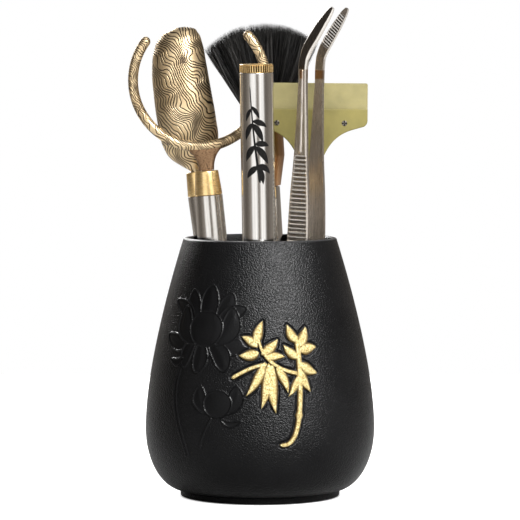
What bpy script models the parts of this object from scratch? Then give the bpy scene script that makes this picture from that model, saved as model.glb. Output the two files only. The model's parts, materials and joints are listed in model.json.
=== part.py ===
"""A tea tool pot: a black ceramic pot with six loose tools standing in it.

Metres, +Z up. The front faces -Y, and the origin is the centre of the pot's base.
Each tool is built along the Z axis of its own empty, which stands at the tool's foot.
"""

import math

import bmesh
import bpy
from mathutils import Matrix, Vector

GAP = 0.0003  # between neighbouring pieces
FIT = 0.0002  # around a spigot, a plug or a tang in its hole

RIM_HEIGHT = 0.112
FLOOR_HEIGHT = 0.006
BELLY_HEIGHT = 0.0295
BELLY_RADIUS = 0.0497
RIM_RADIUS = 0.0334
RIM_INNER_RADIUS = 0.0304
FOOT_RADIUS = 0.0346
FOOT_HEIGHT = 0.0024
FLOOR_RADIUS = 0.033

POT_STEPS = 56
ROUND_STEPS = 24
SMALL_STEPS = 16

HANDLE_TOP = 0.124
HANDLE_WALL = 0.0008
HANDLE_RADIUS = 0.00635
COLLAR_LENGTH = 0.0103
COLLAR_TOP = HANDLE_TOP + GAP + COLLAR_LENGTH
SPIGOT_LENGTH = 0.008
TANG_RADIUS = 0.00215
TANG_FOOT = COLLAR_TOP - 0.008

CASE_TOP = 0.1767
CASE_RADIUS = 0.0072
CASE_WALL = 0.0009

BRUSH_HANDLE_TOP = 0.1265
BRUSH_HANDLE_RADIUS = 0.0046

PLATE_THICKNESS = 0.0016
BLADE_THICKNESS = 0.0018
HEAD_WIDTH = 0.0495
HEAD_FOOT = 0.1400
HEAD_TOP = 0.1722
BLADE_FOOT = 0.1528
BLADE_HEIGHT = 0.1610
SCREW_SPREAD = 0.0147
SCREW_HEIGHT = 0.1543

GRIP_ANGLE = math.radians(50)
BLOCK_HEIGHT = 0.014
BLOCK_THICKNESS = 0.0014

pieces = None


# ---------------------------------------------------------------- helpers


def clear_scene():
    for obj in list(bpy.data.objects):
        bpy.data.objects.remove(obj, do_unlink=True)


def make_collection(name):
    collection = bpy.data.collections.new(name)
    bpy.context.scene.collection.children.link(collection)
    return collection


def make_material(name, colour, roughness, metallic):
    material = bpy.data.materials.new(name)
    material.use_nodes = True
    shader = material.node_tree.nodes["Principled BSDF"]
    shader.inputs["Base Color"].default_value = (*colour, 1)
    shader.inputs["Roughness"].default_value = roughness
    shader.inputs["Metallic"].default_value = metallic
    return material


def add_object(name, mesh, material, parent=None):
    obj = bpy.data.objects.new(name, mesh)
    obj.parent = parent
    mesh.materials.append(material)
    pieces.objects.link(obj)
    return obj


def tool_empty(name, rim_point, lean, foot_rise, turn=0.0):
    """An empty at a tool's foot. lean is how far the axis goes in x and in y for each metre up."""
    direction = Vector((lean[0], lean[1], 1.0))
    foot_height = FLOOR_HEIGHT + GAP + foot_rise
    foot = Vector((*rim_point, RIM_HEIGHT)) - direction * (RIM_HEIGHT - foot_height)
    up = direction.normalized()
    level = Vector((math.cos(turn), math.sin(turn), 0.0))
    side = (level - up * level.dot(up)).normalized()
    frame = Matrix((side, up.cross(side), up)).transposed().to_4x4()
    frame.translation = foot
    empty = bpy.data.objects.new(name, None)
    empty.empty_display_size = 0.01
    empty.matrix_world = frame
    pieces.objects.link(empty)
    return empty


def turned(name, profile, steps, material, parent=None):
    """A piece turned about Z. The profile is (radius, height) points, down its outer side.

    It is closed into a loop unless both of its ends are on the axis.
    """
    mesh = bpy.data.meshes.new(name)
    points = [(radius, 0.0, level) for radius, level in profile]
    edges = [(i, i + 1) for i in range(len(points) - 1)]
    if profile[0][0] > 0 or profile[-1][0] > 0:
        edges.append((len(points) - 1, 0))
    mesh.from_pydata(points, edges, [])
    obj = add_object(name, mesh, material, parent)
    screw = obj.modifiers.new("Turn", "SCREW")
    screw.steps = steps
    screw.render_steps = steps
    screw.use_merge_vertices = True
    screw.merge_threshold = 0.00001
    screw.use_smooth_shade = True
    return obj


def lofted(name, sections, material, parent=None):
    """A closed skin over rings of points, each ring with the same number of points."""
    mesh = bpy.data.meshes.new(name)
    shape = bmesh.new()
    rings = [[shape.verts.new(point) for point in section] for section in sections]
    count = len(rings[0])
    for lower, upper in zip(rings, rings[1:]):
        for i in range(count):
            j = (i + 1) % count
            shape.faces.new((lower[i], lower[j], upper[j], upper[i]))
    shape.faces.new(list(reversed(rings[0])))
    shape.faces.new(rings[-1])
    bmesh.ops.recalc_face_normals(shape, faces=shape.faces)
    shape.to_mesh(mesh)
    shape.free()
    mesh.polygons.foreach_set("use_smooth", [True] * len(mesh.polygons))
    return add_object(name, mesh, material, parent)


def plate(name, outline, thickness, material, parent, depth):
    """A flat plate in the X-Z plane. depth is the Y of its middle."""
    curve = bpy.data.curves.new(name, "CURVE")
    curve.dimensions = "2D"
    curve.fill_mode = "BOTH"
    curve.extrude = thickness / 2
    spline = curve.splines.new("POLY")
    spline.points.add(len(outline) - 1)
    for point, (x, z) in zip(spline.points, outline):
        point.co = (x, z, 0.0, 1.0)
    spline.use_cyclic_u = True
    flat = bpy.data.objects.new(name + "_curve", curve)
    mesh = bpy.data.meshes.new_from_object(flat)
    bpy.data.objects.remove(flat)
    shape = bmesh.new()
    shape.from_mesh(mesh)
    bmesh.ops.remove_doubles(shape, verts=shape.verts, dist=0.000001)
    bmesh.ops.rotate(shape, verts=shape.verts, matrix=Matrix.Rotation(math.radians(90), 3, "X"))
    bmesh.ops.translate(shape, verts=shape.verts, vec=(0.0, depth, 0.0))
    bmesh.ops.recalc_face_normals(shape, faces=shape.faces)
    shape.to_mesh(mesh)
    shape.free()
    return add_object(name, mesh, material, parent)


def make_helper(obj):
    """Hide a cutter or a shape that another piece takes in."""
    pieces.objects.unlink(obj)
    helpers.objects.link(obj)
    obj.hide_render = True
    obj.display_type = "WIRE"


def combine(obj, helper, operation):
    """A Boolean of a piece with a helper."""
    boolean = obj.modifiers.new(operation.title(), "BOOLEAN")
    boolean.operation = operation
    boolean.object = helper
    boolean.solver = "EXACT"


def bezier(start, first, second, end, count):
    """Points on a cubic curve in the radius-height plane, from start to end."""
    curve = []
    for i in range(count + 1):
        t = i / count
        weights = ((1 - t) ** 3, 3 * (1 - t) ** 2 * t, 3 * (1 - t) * t * t, t ** 3)
        controls = (start, first, second, end)
        curve.append(tuple(sum(w * c[k] for w, c in zip(weights, controls)) for k in (0, 1)))
    return curve


def arc(centre, radius, start, end, count):
    """Points on a circle in a plane, angles in degrees."""
    points = []
    for i in range(count + 1):
        angle = math.radians(start + (end - start) * i / count)
        points.append((centre[0] + radius * math.cos(angle), centre[1] + radius * math.sin(angle)))
    return points


# ---------------------------------------------------------------- pot


def build_pot():
    """Bellied pot with a set-back foot, a rounded rim and an even wall."""
    shoulder = (RIM_RADIUS, RIM_HEIGHT - 0.0012)
    belly = (BELLY_RADIUS, BELLY_HEIGHT)
    hip = (0.0358, 0.0030)
    outer = bezier(shoulder, (0.0401, 0.0893), (BELLY_RADIUS, 0.0533), belly, 9)
    outer += bezier(belly, (BELLY_RADIUS, 0.0170), (0.0443, 0.0050), hip, 7)[1:]
    foot = [(FOOT_RADIUS, FOOT_HEIGHT), (FOOT_RADIUS, 0.0006), (FOOT_RADIUS - 0.0006, 0.0)]
    floor_edge = (FLOOR_RADIUS, FLOOR_HEIGHT)
    inner_belly = (BELLY_RADIUS - 0.0045, BELLY_HEIGHT + 0.0015)
    inner_rim = (RIM_INNER_RADIUS, RIM_HEIGHT - 0.0012)
    inner = bezier(floor_edge, (0.0415, 0.0075), (0.0452, 0.0180), inner_belly, 5)
    inner += bezier(inner_belly, (0.0452, 0.0525), (0.0366, 0.0880), inner_rim, 6)[1:]
    lip = [(RIM_INNER_RADIUS + 0.0008, RIM_HEIGHT), (RIM_RADIUS - 0.0007, RIM_HEIGHT)]
    profile = [(0.0, FLOOR_HEIGHT)] + inner + lip + outer + foot + [(0.0, 0.0)]
    glaze = make_material("black_ceramic", (0.018, 0.018, 0.019), 0.55, 0.0)
    return turned("pot_body", profile, POT_STEPS, glaze)


# ---------------------------------------------------------------- shared handles


def build_handle(prefix, parent, scale, steel, gold):
    """Hollow steel handle, its end cap, and the gold collar that holds the tool's tang."""
    foot_radius = 0.0056 * scale
    waist_radius = HANDLE_RADIUS * scale
    top_radius = 0.00595 * scale
    outer = [(top_radius, HANDLE_TOP), (waist_radius, 0.1050), (waist_radius, 0.0700), (foot_radius, 0.0015)]
    inner = [(foot_radius - HANDLE_WALL, 0.0015), (waist_radius - HANDLE_WALL, 0.0700)]
    inner += [(waist_radius - HANDLE_WALL, 0.1050), (top_radius - HANDLE_WALL, HANDLE_TOP)]
    turned(prefix + "_handle", outer + inner, ROUND_STEPS, steel, parent)

    plug_radius = foot_radius - HANDLE_WALL - FIT
    cap_top = 0.0015 - GAP
    cap = [(0.0, 0.0090), (plug_radius, 0.0090), (plug_radius, cap_top), (foot_radius, cap_top)]
    cap += [(foot_radius, 0.0004), (foot_radius - 0.0004, 0.0), (0.0, 0.0)]
    turned(prefix + "_end_cap", cap, ROUND_STEPS, steel, parent)

    collar_foot = HANDLE_TOP + GAP
    spigot_radius = top_radius - HANDLE_WALL - FIT
    neck_radius = 0.0052 * scale
    hole_radius = TANG_RADIUS + FIT
    collar = [(hole_radius, COLLAR_TOP), (neck_radius - 0.0003, COLLAR_TOP)]
    collar += [(neck_radius, COLLAR_TOP - 0.0003), (top_radius, collar_foot)]
    collar += [(spigot_radius, collar_foot), (spigot_radius, HANDLE_TOP - SPIGOT_LENGTH)]
    collar += [(0.0, HANDLE_TOP - SPIGOT_LENGTH)]
    socket = [(0.0, TANG_FOOT - GAP), (hole_radius, TANG_FOOT - GAP)]
    turned(prefix + "_collar", socket + collar, ROUND_STEPS, gold, parent)


def add_tang(obj, name, material, parent, top):
    """The round shank that fits the collar's hole."""
    shank = [(0.0, top), (TANG_RADIUS, top), (TANG_RADIUS, TANG_FOOT), (0.0, TANG_FOOT)]
    tang = turned(name, shank, SMALL_STEPS, material, parent)
    make_helper(tang)
    combine(obj, tang, "UNION")


# ---------------------------------------------------------------- tea scoop


def scoop_sections():
    """Rings of a channel with a rounded back, which faces -Y, and a closed, rounded tip."""
    # height, half width, depth of the channel, Y of its rim, shift of its middle in X
    stations = [
        (COLLAR_TOP + 0.0010, 0.0026, 0.0042, 0.0020, 0.0),
        (0.1385, 0.0060, 0.0062, 0.0032, 0.0),
        (0.1420, 0.0096, 0.0084, 0.0042, -0.0001),
        (0.1475, 0.0121, 0.0101, 0.0050, -0.0003),
        (0.1570, 0.01275, 0.0108, 0.0050, -0.00045),
        (0.1700, 0.01255, 0.0108, 0.0050, -0.00045),
        (0.1815, 0.0119, 0.0103, 0.0050, 0.0),
        (0.1893, 0.0107, 0.0092, 0.0050, 0.0009),
        (0.1943, 0.0086, 0.0074, 0.0050, 0.0018),
        (0.1967, 0.0059, 0.0054, 0.0048, 0.0024),
        (0.1977, 0.0028, 0.0034, 0.0042, 0.0028),
    ]
    wall = 0.0012
    across = 12
    sections = []
    for height, half_width, depth, rim, shift in stations:
        outside = []
        inside = []
        for i in range(across + 1):
            angle = math.pi * i / across
            outside.append((shift - half_width * math.cos(angle), rim - depth * math.sin(angle), height))
            inner_width = half_width - wall
            inner_depth = depth - wall
            inside.append((shift - inner_width * math.cos(angle), rim - inner_depth * math.sin(angle), height))
        sections.append(outside + inside[::-1])
    return sections


def build_scoop(bronze, steel, gold):
    axis = tool_empty("scoop_axis", (-0.0234, 0.0076), (-0.160, 0.010), 0.0010)
    bowl = lofted("scoop_bowl", scoop_sections(), bronze, axis)
    add_tang(bowl, "scoop_tang", bronze, axis, 0.1400)
    build_handle("scoop", axis, 0.87, steel, gold)


# ---------------------------------------------------------------- cup fork


def fork_ring_sections():
    """Rings of an open hoop of oval bar, with rounded tips, in the X-Z plane."""
    hoop_radius = 0.0285
    hoop_height = 0.1736
    left_opening = math.radians(45.2)
    right_opening = math.radians(47.8)
    half_width = 0.00215
    half_thickness = 0.0019
    start = math.pi / 2 + left_opening
    sweep = 2 * math.pi - left_opening - right_opening
    tip = half_width / hoop_radius
    angles = [(start + tip * (1 - math.cos(a)), math.sin(a)) for a in (0.15, 0.5, 1.0)]
    count = 34
    angles += [(start + tip + (sweep - 2 * tip) * i / count, 1.0) for i in range(count + 1)]
    angles += [(start + sweep - tip * (1 - math.cos(a)), math.sin(a)) for a in (1.0, 0.5, 0.15)]
    sections = []
    for angle, size in angles:
        section = []
        for i in range(12):
            around = 2 * math.pi * i / 12
            radius = hoop_radius + size * half_width * math.cos(around)
            depth = size * half_thickness * math.sin(around)
            section.append((radius * math.cos(angle), depth, hoop_height + radius * math.sin(angle)))
        sections.append(section)
    return sections


def wedge_sections():
    """The flat neck under the hoop, wide at the top and narrow at the collar."""
    stations = [
        (COLLAR_TOP + GAP, 0.0033, 0.0023),
        (0.1385, 0.0037, 0.0021),
        (0.1415, 0.0050, 0.0019),
        (0.1440, 0.0068, 0.0017),
        (0.1462, 0.0080, 0.0014),
    ]
    sections = []
    for height, half_width, half_thickness in stations:
        section = []
        for i in range(12):
            around = 2 * math.pi * i / 12
            x = half_width * math.cos(around)
            y = half_thickness * math.sin(around)
            section.append((x, y, height))
        sections.append(section)
    return sections


def build_fork(bronze, steel, gold):
    axis = tool_empty("cup_fork_axis", (-0.0206, -0.0060), (-0.081, -0.005), 0.0006)
    ring = lofted("cup_fork_ring", fork_ring_sections(), bronze, axis)
    neck = lofted("cup_fork_neck", wedge_sections(), bronze, axis)
    make_helper(neck)
    combine(ring, neck, "UNION")
    add_tang(ring, "cup_fork_tang", bronze, axis, 0.1380)
    build_handle("cup_fork", axis, 1.0, steel, gold)


# ---------------------------------------------------------------- tea needle in its case


def build_needle_case(steel, gold):
    """Steel tube with a brass mouth. The knurled cap carries the needle down inside it."""
    axis = tool_empty("needle_case_axis", (-0.0004, -0.0200), (-0.016, -0.030), 0.0004)
    bore = CASE_RADIUS - CASE_WALL
    tube = [(CASE_RADIUS, CASE_TOP), (CASE_RADIUS, 0.0015), (bore, 0.0015), (bore, CASE_TOP)]
    turned("needle_case_tube", tube, ROUND_STEPS, steel, axis)

    insert_radius = bore - FIT
    insert_bore = 0.0046
    insert_top = CASE_TOP - 0.0006
    insert_foot = CASE_TOP - 0.0140
    insert = [(insert_radius, insert_top), (insert_radius, insert_foot)]
    insert += [(insert_bore, insert_foot), (insert_bore, insert_top)]
    turned("needle_case_insert", insert, ROUND_STEPS, gold, axis)

    base = [(0.0, 0.0100), (bore - FIT, 0.0100), (bore - FIT, 0.0012), (CASE_RADIUS, 0.0012)]
    base += [(CASE_RADIUS, 0.0005), (CASE_RADIUS - 0.0005, 0.0), (0.0, 0.0)]
    turned("needle_case_base_plug", base, ROUND_STEPS, steel, axis)

    ring_foot = CASE_TOP + 0.0001
    ring_top = ring_foot + 0.0005
    rubber = make_material("seal_rubber", (0.02, 0.02, 0.02), 0.7, 0.0)
    seal = [(0.0066, ring_top), (0.0068, ring_foot + 0.00025), (0.0066, ring_foot)]
    seal += [(0.0052, ring_foot), (0.0050, ring_foot + 0.00025), (0.0052, ring_top)]
    turned("needle_o_ring", seal, ROUND_STEPS, rubber, axis)

    cap_foot = ring_top + 0.0001
    cap_top = cap_foot + 0.0030
    socket_radius = 0.0031
    cap = [(0.0, cap_top), (0.0064, cap_top), (0.0072, cap_top - 0.0005), (0.0072, cap_foot)]
    cap += [(socket_radius, cap_foot), (socket_radius, cap_foot + 0.0022), (0.0, cap_foot + 0.0022)]
    turned("needle_case_cap", cap, ROUND_STEPS, gold, axis)

    plug_top = cap_foot + 0.0020
    shoulder = cap_foot - 0.0001
    plug_foot = CASE_TOP - 0.0100
    hole = 0.0013
    plug = [(0.0, plug_top), (socket_radius - FIT, plug_top), (socket_radius - FIT, shoulder)]
    plug += [(0.0043, shoulder), (0.0043, plug_foot), (hole, plug_foot)]
    plug += [(hole, CASE_TOP - 0.0020), (0.0, CASE_TOP - 0.0020)]
    turned("needle_plug", plug, ROUND_STEPS, gold, axis)

    needle_top = CASE_TOP - 0.0020 - FIT
    needle_foot = needle_top - 0.1150
    needle = [(0.0, needle_top), (0.0011, needle_top), (0.0011, plug_foot - 0.0010)]
    needle += [(0.0016, plug_foot - 0.0030), (0.0016, needle_foot + 0.0300), (0.0, needle_foot)]
    turned("tea_needle", needle, SMALL_STEPS, steel, axis)


# ---------------------------------------------------------------- brush


def bristle_sections():
    """Rings of a flat fan with a domed top, from inside the ferrule up to the tips."""
    # height, half width, half thickness
    stations = [
        (0.1450, 0.0058, 0.0058),
        (0.1545, 0.0062, 0.0060),
        (0.1660, 0.0118, 0.0064),
        (0.1780, 0.0182, 0.0064),
        (0.1865, 0.0232, 0.0060),
        (0.1915, 0.0205, 0.0048),
        (0.1950, 0.0150, 0.0034),
        (0.1972, 0.0080, 0.0018),
    ]
    sections = []
    for height, half_width, half_thickness in stations:
        section = []
        for i in range(20):
            around = 2 * math.pi * i / 20
            section.append((half_width * math.cos(around), half_thickness * math.sin(around), height))
        sections.append(section)
    return sections


def build_brush(steel):
    axis = tool_empty("brush_axis", (0.0054, 0.0230), (-0.060, 0.0), 0.0006)
    hair = make_material("dark_bristle", (0.016, 0.016, 0.018), 0.6, 0.0)
    lofted("brush_bristles", bristle_sections(), hair, axis)

    copper = make_material("copper_ferrule", (0.42, 0.24, 0.12), 0.35, 1.0)
    foot = BRUSH_HANDLE_TOP + GAP
    wide = 0.0075
    outer = [(0.0070, 0.1546), (wide, 0.1540), (wide, 0.1400), (0.0050, foot)]
    outer += [(BRUSH_HANDLE_RADIUS - HANDLE_WALL - FIT, foot)]
    outer += [(BRUSH_HANDLE_RADIUS - HANDLE_WALL - FIT, foot - SPIGOT_LENGTH), (0.0, foot - SPIGOT_LENGTH)]
    well = [(0.0, 0.1445), (0.0064, 0.1445), (0.0066, 0.1546)]
    turned("brush_ferrule", well + outer, ROUND_STEPS, copper, axis)

    radius = BRUSH_HANDLE_RADIUS
    bore = radius - HANDLE_WALL
    handle = [(radius, BRUSH_HANDLE_TOP), (radius, 0.0015), (bore, 0.0015), (bore, BRUSH_HANDLE_TOP)]
    turned("brush_handle", handle, ROUND_STEPS, steel, axis)

    cap = [(0.0, 0.0080), (bore - FIT, 0.0080), (bore - FIT, 0.0012), (radius, 0.0012)]
    cap += [(radius, 0.0004), (radius - 0.0004, 0.0), (0.0, 0.0)]
    turned("brush_end_cap", cap, ROUND_STEPS, steel, axis)


# ---------------------------------------------------------------- scraper


def holder_outline():
    """Wide top, rounded lower corners, and hollow flanks that run down to a narrow neck."""
    half = HEAD_WIDTH / 2
    corner = 0.0030
    shelf = 0.1525
    right = [(half, BLADE_HEIGHT)]
    right += arc((half - corner, shelf + corner), corner, 0, -70, 4)
    right += bezier((0.0165, 0.1502), (0.0108, 0.1480), (0.0082, 0.1440), (0.0056, HEAD_FOOT), 6)
    left = [(-x, z) for x, z in reversed(right)]
    return right + left


def build_scraper(steel, gold):
    axis = tool_empty("scraper_axis", (0.0216, 0.0095), (0.008, 0.0), 0.0003)
    rubber = make_material("green_rubber", (0.55, 0.58, 0.24), 0.5, 0.0)
    shell = make_material("green_holder", (0.50, 0.54, 0.18), 0.45, 0.0)
    half = HEAD_WIDTH / 2
    blade = [(half, HEAD_TOP), (half, BLADE_HEIGHT + 0.0003), (half - 0.004, BLADE_HEIGHT - 0.0040)]
    blade += [(0.0200, BLADE_FOOT), (0.0085, BLADE_FOOT), (0.0085, BLADE_FOOT + 0.003)]
    blade += [(-x, z) for x, z in reversed(blade)]
    strip = plate("scraper_blade", blade, BLADE_THICKNESS, rubber, axis, 0.0)
    offset = (BLADE_THICKNESS + PLATE_THICKNESS) / 2 + 0.0001
    outline = holder_outline()
    front = plate("scraper_holder_front", outline, PLATE_THICKNESS, shell, axis, -offset)
    back = plate("scraper_holder_back", outline, PLATE_THICKNESS, shell, axis, offset)
    for side, label in ((-1, "1"), (1, "2")):
        build_clamp_screw("scraper_screw_" + label, side * SCREW_SPREAD, offset, steel, axis, (front, strip, back))

    stem = lofted("scraper_stem", stem_sections(), gold, axis)
    add_tang(stem, "scraper_tang", gold, axis, 0.1370)
    build_handle("scraper", axis, 1.0, steel, gold)


def stem_sections():
    """A flat tongue for the slot between the plates, which swells to a round boss at the collar."""
    tongue = BLADE_THICKNESS / 2
    # height, half width, half thickness
    stations = [
        (COLLAR_TOP + GAP, 0.0046, 0.0042),
        (0.1385, 0.0046, 0.0036),
        (HEAD_FOOT - GAP, 0.0044, 0.0028),
        (HEAD_FOOT - 0.0002, 0.0042, tongue),
        (0.1540, 0.0042, tongue),
    ]
    sections = []
    for height, half_width, half_thickness in stations:
        ring = [(1, 0), (0.9, 0.7), (0.6, 1), (-0.6, 1), (-0.9, 0.7), (-1, 0)]
        ring += [(-0.9, -0.7), (-0.6, -1), (0.6, -1), (0.9, -0.7)]
        sections.append([(x * half_width, y * half_thickness, height) for x, y in ring])
    return sections


def build_clamp_screw(name, x, offset, steel, parent, clamped):
    """A domed screw through both plates and the blade, with a clear hole round it."""
    face = offset + PLATE_THICKNESS / 2
    shank = 0.0007
    head = [(0.0, face + 0.0007), (0.0009, face + 0.0005), (0.0014, face + 0.0001)]
    head += [(shank, face + 0.0001), (shank, -face + 0.0001), (0.0, -face + 0.0001)]
    screw = turned(name, head, SMALL_STEPS, steel, parent)
    hole = [(0.0, face + 0.001), (shank + 0.0001, face + 0.001)]
    hole += [(shank + 0.0001, -face - 0.001), (0.0, -face - 0.001)]
    drill = turned(name + "_drill", hole, SMALL_STEPS, steel, parent)
    for obj in (screw, drill):
        obj.rotation_euler.x = math.radians(90)
        obj.location = (x, 0.0, SCREW_HEIGHT)
    make_helper(drill)
    for obj in clamped:
        combine(obj, drill, "DIFFERENCE")


# ---------------------------------------------------------------- tweezers


def arm_sections(side):
    """Rings of one arm. side is -1 for the left arm and 1 for the right. The tip bends to -Y."""
    # height, distance of the inner face from the middle, half width, thickness, bend towards -Y
    spread = BLOCK_THICKNESS / 2 + 0.0001
    stations = [
        (0.0000, spread, 0.0045, 0.0014, 0.0),
        (BLOCK_HEIGHT, spread, 0.0047, 0.0014, 0.0),
        (0.0300, 0.0019, 0.0052, 0.0015, 0.0),
        (0.0550, 0.0037, 0.0058, 0.0016, 0.0),
        (0.0800, 0.0046, 0.0060, 0.0016, 0.0),
        (0.1050, 0.0049, 0.0057, 0.0016, 0.0),
        (0.1230, 0.0048, 0.0050, 0.0016, 0.0),
        (0.1400, 0.0047, 0.0037, 0.0016, 0.0),
        (0.1600, 0.0048, 0.0026, 0.0017, 0.0),
        (0.1720, 0.0049, 0.0021, 0.0018, 0.0),
        (0.1800, 0.0049, 0.0021, 0.0019, 0.0),
        (0.1830, 0.0048, 0.0021, 0.0019, 0.0004),
        (0.1863, 0.0048, 0.0023, 0.0019, 0.0017),
        (0.1920, 0.0047, 0.0024, 0.0018, 0.0054),
        (0.1985, 0.0046, 0.0020, 0.0017, 0.0100),
        (0.2030, 0.0045, 0.0013, 0.0014, 0.0133),
        (0.2045, 0.0045, 0.0007, 0.0011, 0.0144),
    ]
    sections = []
    for i, (height, inner, half_width, thickness, bend) in enumerate(stations):
        before = stations[max(i - 1, 0)]
        after = stations[min(i + 1, len(stations) - 1)]
        slope = math.atan2(after[4] - before[4], after[0] - before[0])
        edge = 0.25 * thickness
        corners = [(inner, -half_width), (inner + thickness - edge, -half_width)]
        corners += [(inner + thickness, -half_width + edge), (inner + thickness, half_width - edge)]
        corners += [(inner + thickness - edge, half_width), (inner, half_width)]
        section = []
        for x, y in corners:
            along = y * math.sin(slope)
            section.append((side * x, y * math.cos(slope) - bend, height + along))
        sections.append(section)
    return sections


def build_tweezers(steel):
    """Two spring arms on an end block. X is the way they open, and the tips bend to -Y."""
    axis = tool_empty("tweezers_axis", (0.0199, -0.0085), (0.032, 0.0), 0.0004, GRIP_ANGLE)
    for side, label in ((-1, "left"), (1, "right")):
        name = "tweezers_arm_" + label
        pivot = bpy.data.objects.new(name + "_pivot", None)
        pivot.parent = axis
        pivot.location.z = BLOCK_HEIGHT
        pivot.empty_display_size = 0.01
        pieces.objects.link(pivot)
        sections = [[(x, y, z - BLOCK_HEIGHT) for x, y, z in ring] for ring in arm_sections(side)]
        lofted(name, sections, steel, pivot)
    mesh = bpy.data.meshes.new("tweezers_end_block")
    shape = bmesh.new()
    bmesh.ops.create_cube(shape, size=1.0)
    bmesh.ops.scale(shape, vec=(BLOCK_THICKNESS, 0.0088, BLOCK_HEIGHT - 0.0004), verts=shape.verts)
    bmesh.ops.translate(shape, verts=shape.verts, vec=(0.0, 0.0, BLOCK_HEIGHT / 2))
    shape.to_mesh(mesh)
    shape.free()
    add_object("tweezers_end_block", mesh, steel, axis)


# ---------------------------------------------------------------- whole set

clear_scene()
pieces = make_collection("tea_tool_pot")
helpers = make_collection("helpers")
helpers.hide_render = True

bronze_metal = make_material("engraved_bronze", (0.42, 0.30, 0.15), 0.4, 1.0)
brushed_steel = make_material("brushed_steel", (0.60, 0.59, 0.57), 0.32, 1.0)
gold_brass = make_material("gold_brass", (0.75, 0.52, 0.20), 0.28, 1.0)
tweezer_steel = make_material("tweezer_steel", (0.42, 0.40, 0.38), 0.3, 1.0)

build_pot()
build_scoop(bronze_metal, brushed_steel, gold_brass)
build_fork(bronze_metal, brushed_steel, gold_brass)
build_needle_case(brushed_steel, gold_brass)
build_brush(brushed_steel)
build_scraper(brushed_steel, gold_brass)
build_tweezers(tweezer_steel)
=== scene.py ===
import json
import math
import random

import bpy
import bmesh
import numpy as np
from mathutils import Matrix, Vector


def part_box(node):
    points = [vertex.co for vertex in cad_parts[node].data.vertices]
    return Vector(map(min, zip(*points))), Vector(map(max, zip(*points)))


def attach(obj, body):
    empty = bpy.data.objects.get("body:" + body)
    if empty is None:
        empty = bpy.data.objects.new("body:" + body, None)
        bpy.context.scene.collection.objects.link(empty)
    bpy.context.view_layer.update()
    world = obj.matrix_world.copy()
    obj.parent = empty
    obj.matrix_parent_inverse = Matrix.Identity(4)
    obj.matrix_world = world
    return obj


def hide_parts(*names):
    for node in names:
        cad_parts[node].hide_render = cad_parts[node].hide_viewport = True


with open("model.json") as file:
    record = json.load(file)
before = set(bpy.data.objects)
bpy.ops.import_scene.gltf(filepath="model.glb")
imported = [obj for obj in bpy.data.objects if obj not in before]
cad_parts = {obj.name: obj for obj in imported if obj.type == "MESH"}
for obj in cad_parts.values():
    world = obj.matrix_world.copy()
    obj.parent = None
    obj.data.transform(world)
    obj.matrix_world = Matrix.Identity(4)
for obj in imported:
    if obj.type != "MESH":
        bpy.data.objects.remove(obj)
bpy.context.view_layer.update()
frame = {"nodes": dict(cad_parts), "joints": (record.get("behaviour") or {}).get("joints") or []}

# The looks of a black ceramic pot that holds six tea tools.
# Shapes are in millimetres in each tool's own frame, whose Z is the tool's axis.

bpy.context.scene.view_settings.view_transform = "Standard"

MM = 0.001
TURN = 2 * math.pi
SEED = 7
ROUND = 96  # corners round a turned piece
TANG_RADIUS = 2.15
TANG_DEPTH = 7.6  # of a tool's tang in its collar
SOCKET_DEPTH = 8.0
HANDLE_WALL = 0.8
joints = {joint["name"]: joint for joint in frame["joints"]}


# ------------ frames read from the CAD


def node_points(node):
    """The different corners of a CAD node, in metres."""
    data = frame["nodes"][node].data
    flat = np.empty(len(data.vertices) * 3)
    data.vertices.foreach_get("co", flat)
    return np.unique(np.round(flat.reshape(-1, 3), 7), axis=0)


def axis_frame(axis, point, side):
    """A frame at a point, with Z along the axis and X towards the side."""
    up = Vector(axis).normalized()
    level = (Vector(side) - up * up.dot(Vector(side))).normalized()
    made = Matrix((level, up.cross(level), up)).transposed().to_4x4()
    made.translation = point
    return made


def tool_frame(joint, round_node, foot_node):
    """The frame at a tool's foot: Z along its lift, through the middle of a turned node."""
    axis = Vector(joints[joint]["axis"]).normalized()
    middle = Vector(node_points(round_node).mean(axis=0))
    lowest = (node_points(foot_node) @ np.array(axis)).min()
    return axis_frame(axis, middle + axis * (lowest - middle.dot(axis)), (1, 0, 0))


def tweezers_frame():
    hinge = joints["tweezers_squeeze_left"]
    up = Vector(joints["tweezers_lift"]["axis"]).normalized()
    across = Vector(hinge["axis"]).cross(up)
    return axis_frame(up, Vector(hinge["pos_m"]), across)


def heights_along(node, tool):
    """A CAD node's corners from the foot of a tool, and their heights along its axis, in metres."""
    points = node_points(node) - np.array(tool.translation)
    return points, points @ np.array(tool.col[2][:3])


def levels(node, tool):
    """Lowest and highest place of a CAD node along a tool's axis, in millimetres."""
    heights = heights_along(node, tool)[1] / MM
    return heights.min(), heights.max()


def reach(node, tool, share=None):
    """Largest distance of a CAD node from a tool's axis, in millimetres, near a share of its length."""
    points, heights = heights_along(node, tool)
    up = np.array(tool.col[2][:3])
    distance = np.linalg.norm(points - np.outer(heights, up), axis=1) / MM
    if share is not None:
        wanted = heights.min() + share * (heights.max() - heights.min())
        near = np.abs(heights - wanted)
        distance = distance[near < near.min() + 0.0002]
    return distance.max()


# ------------ shape building


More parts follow.
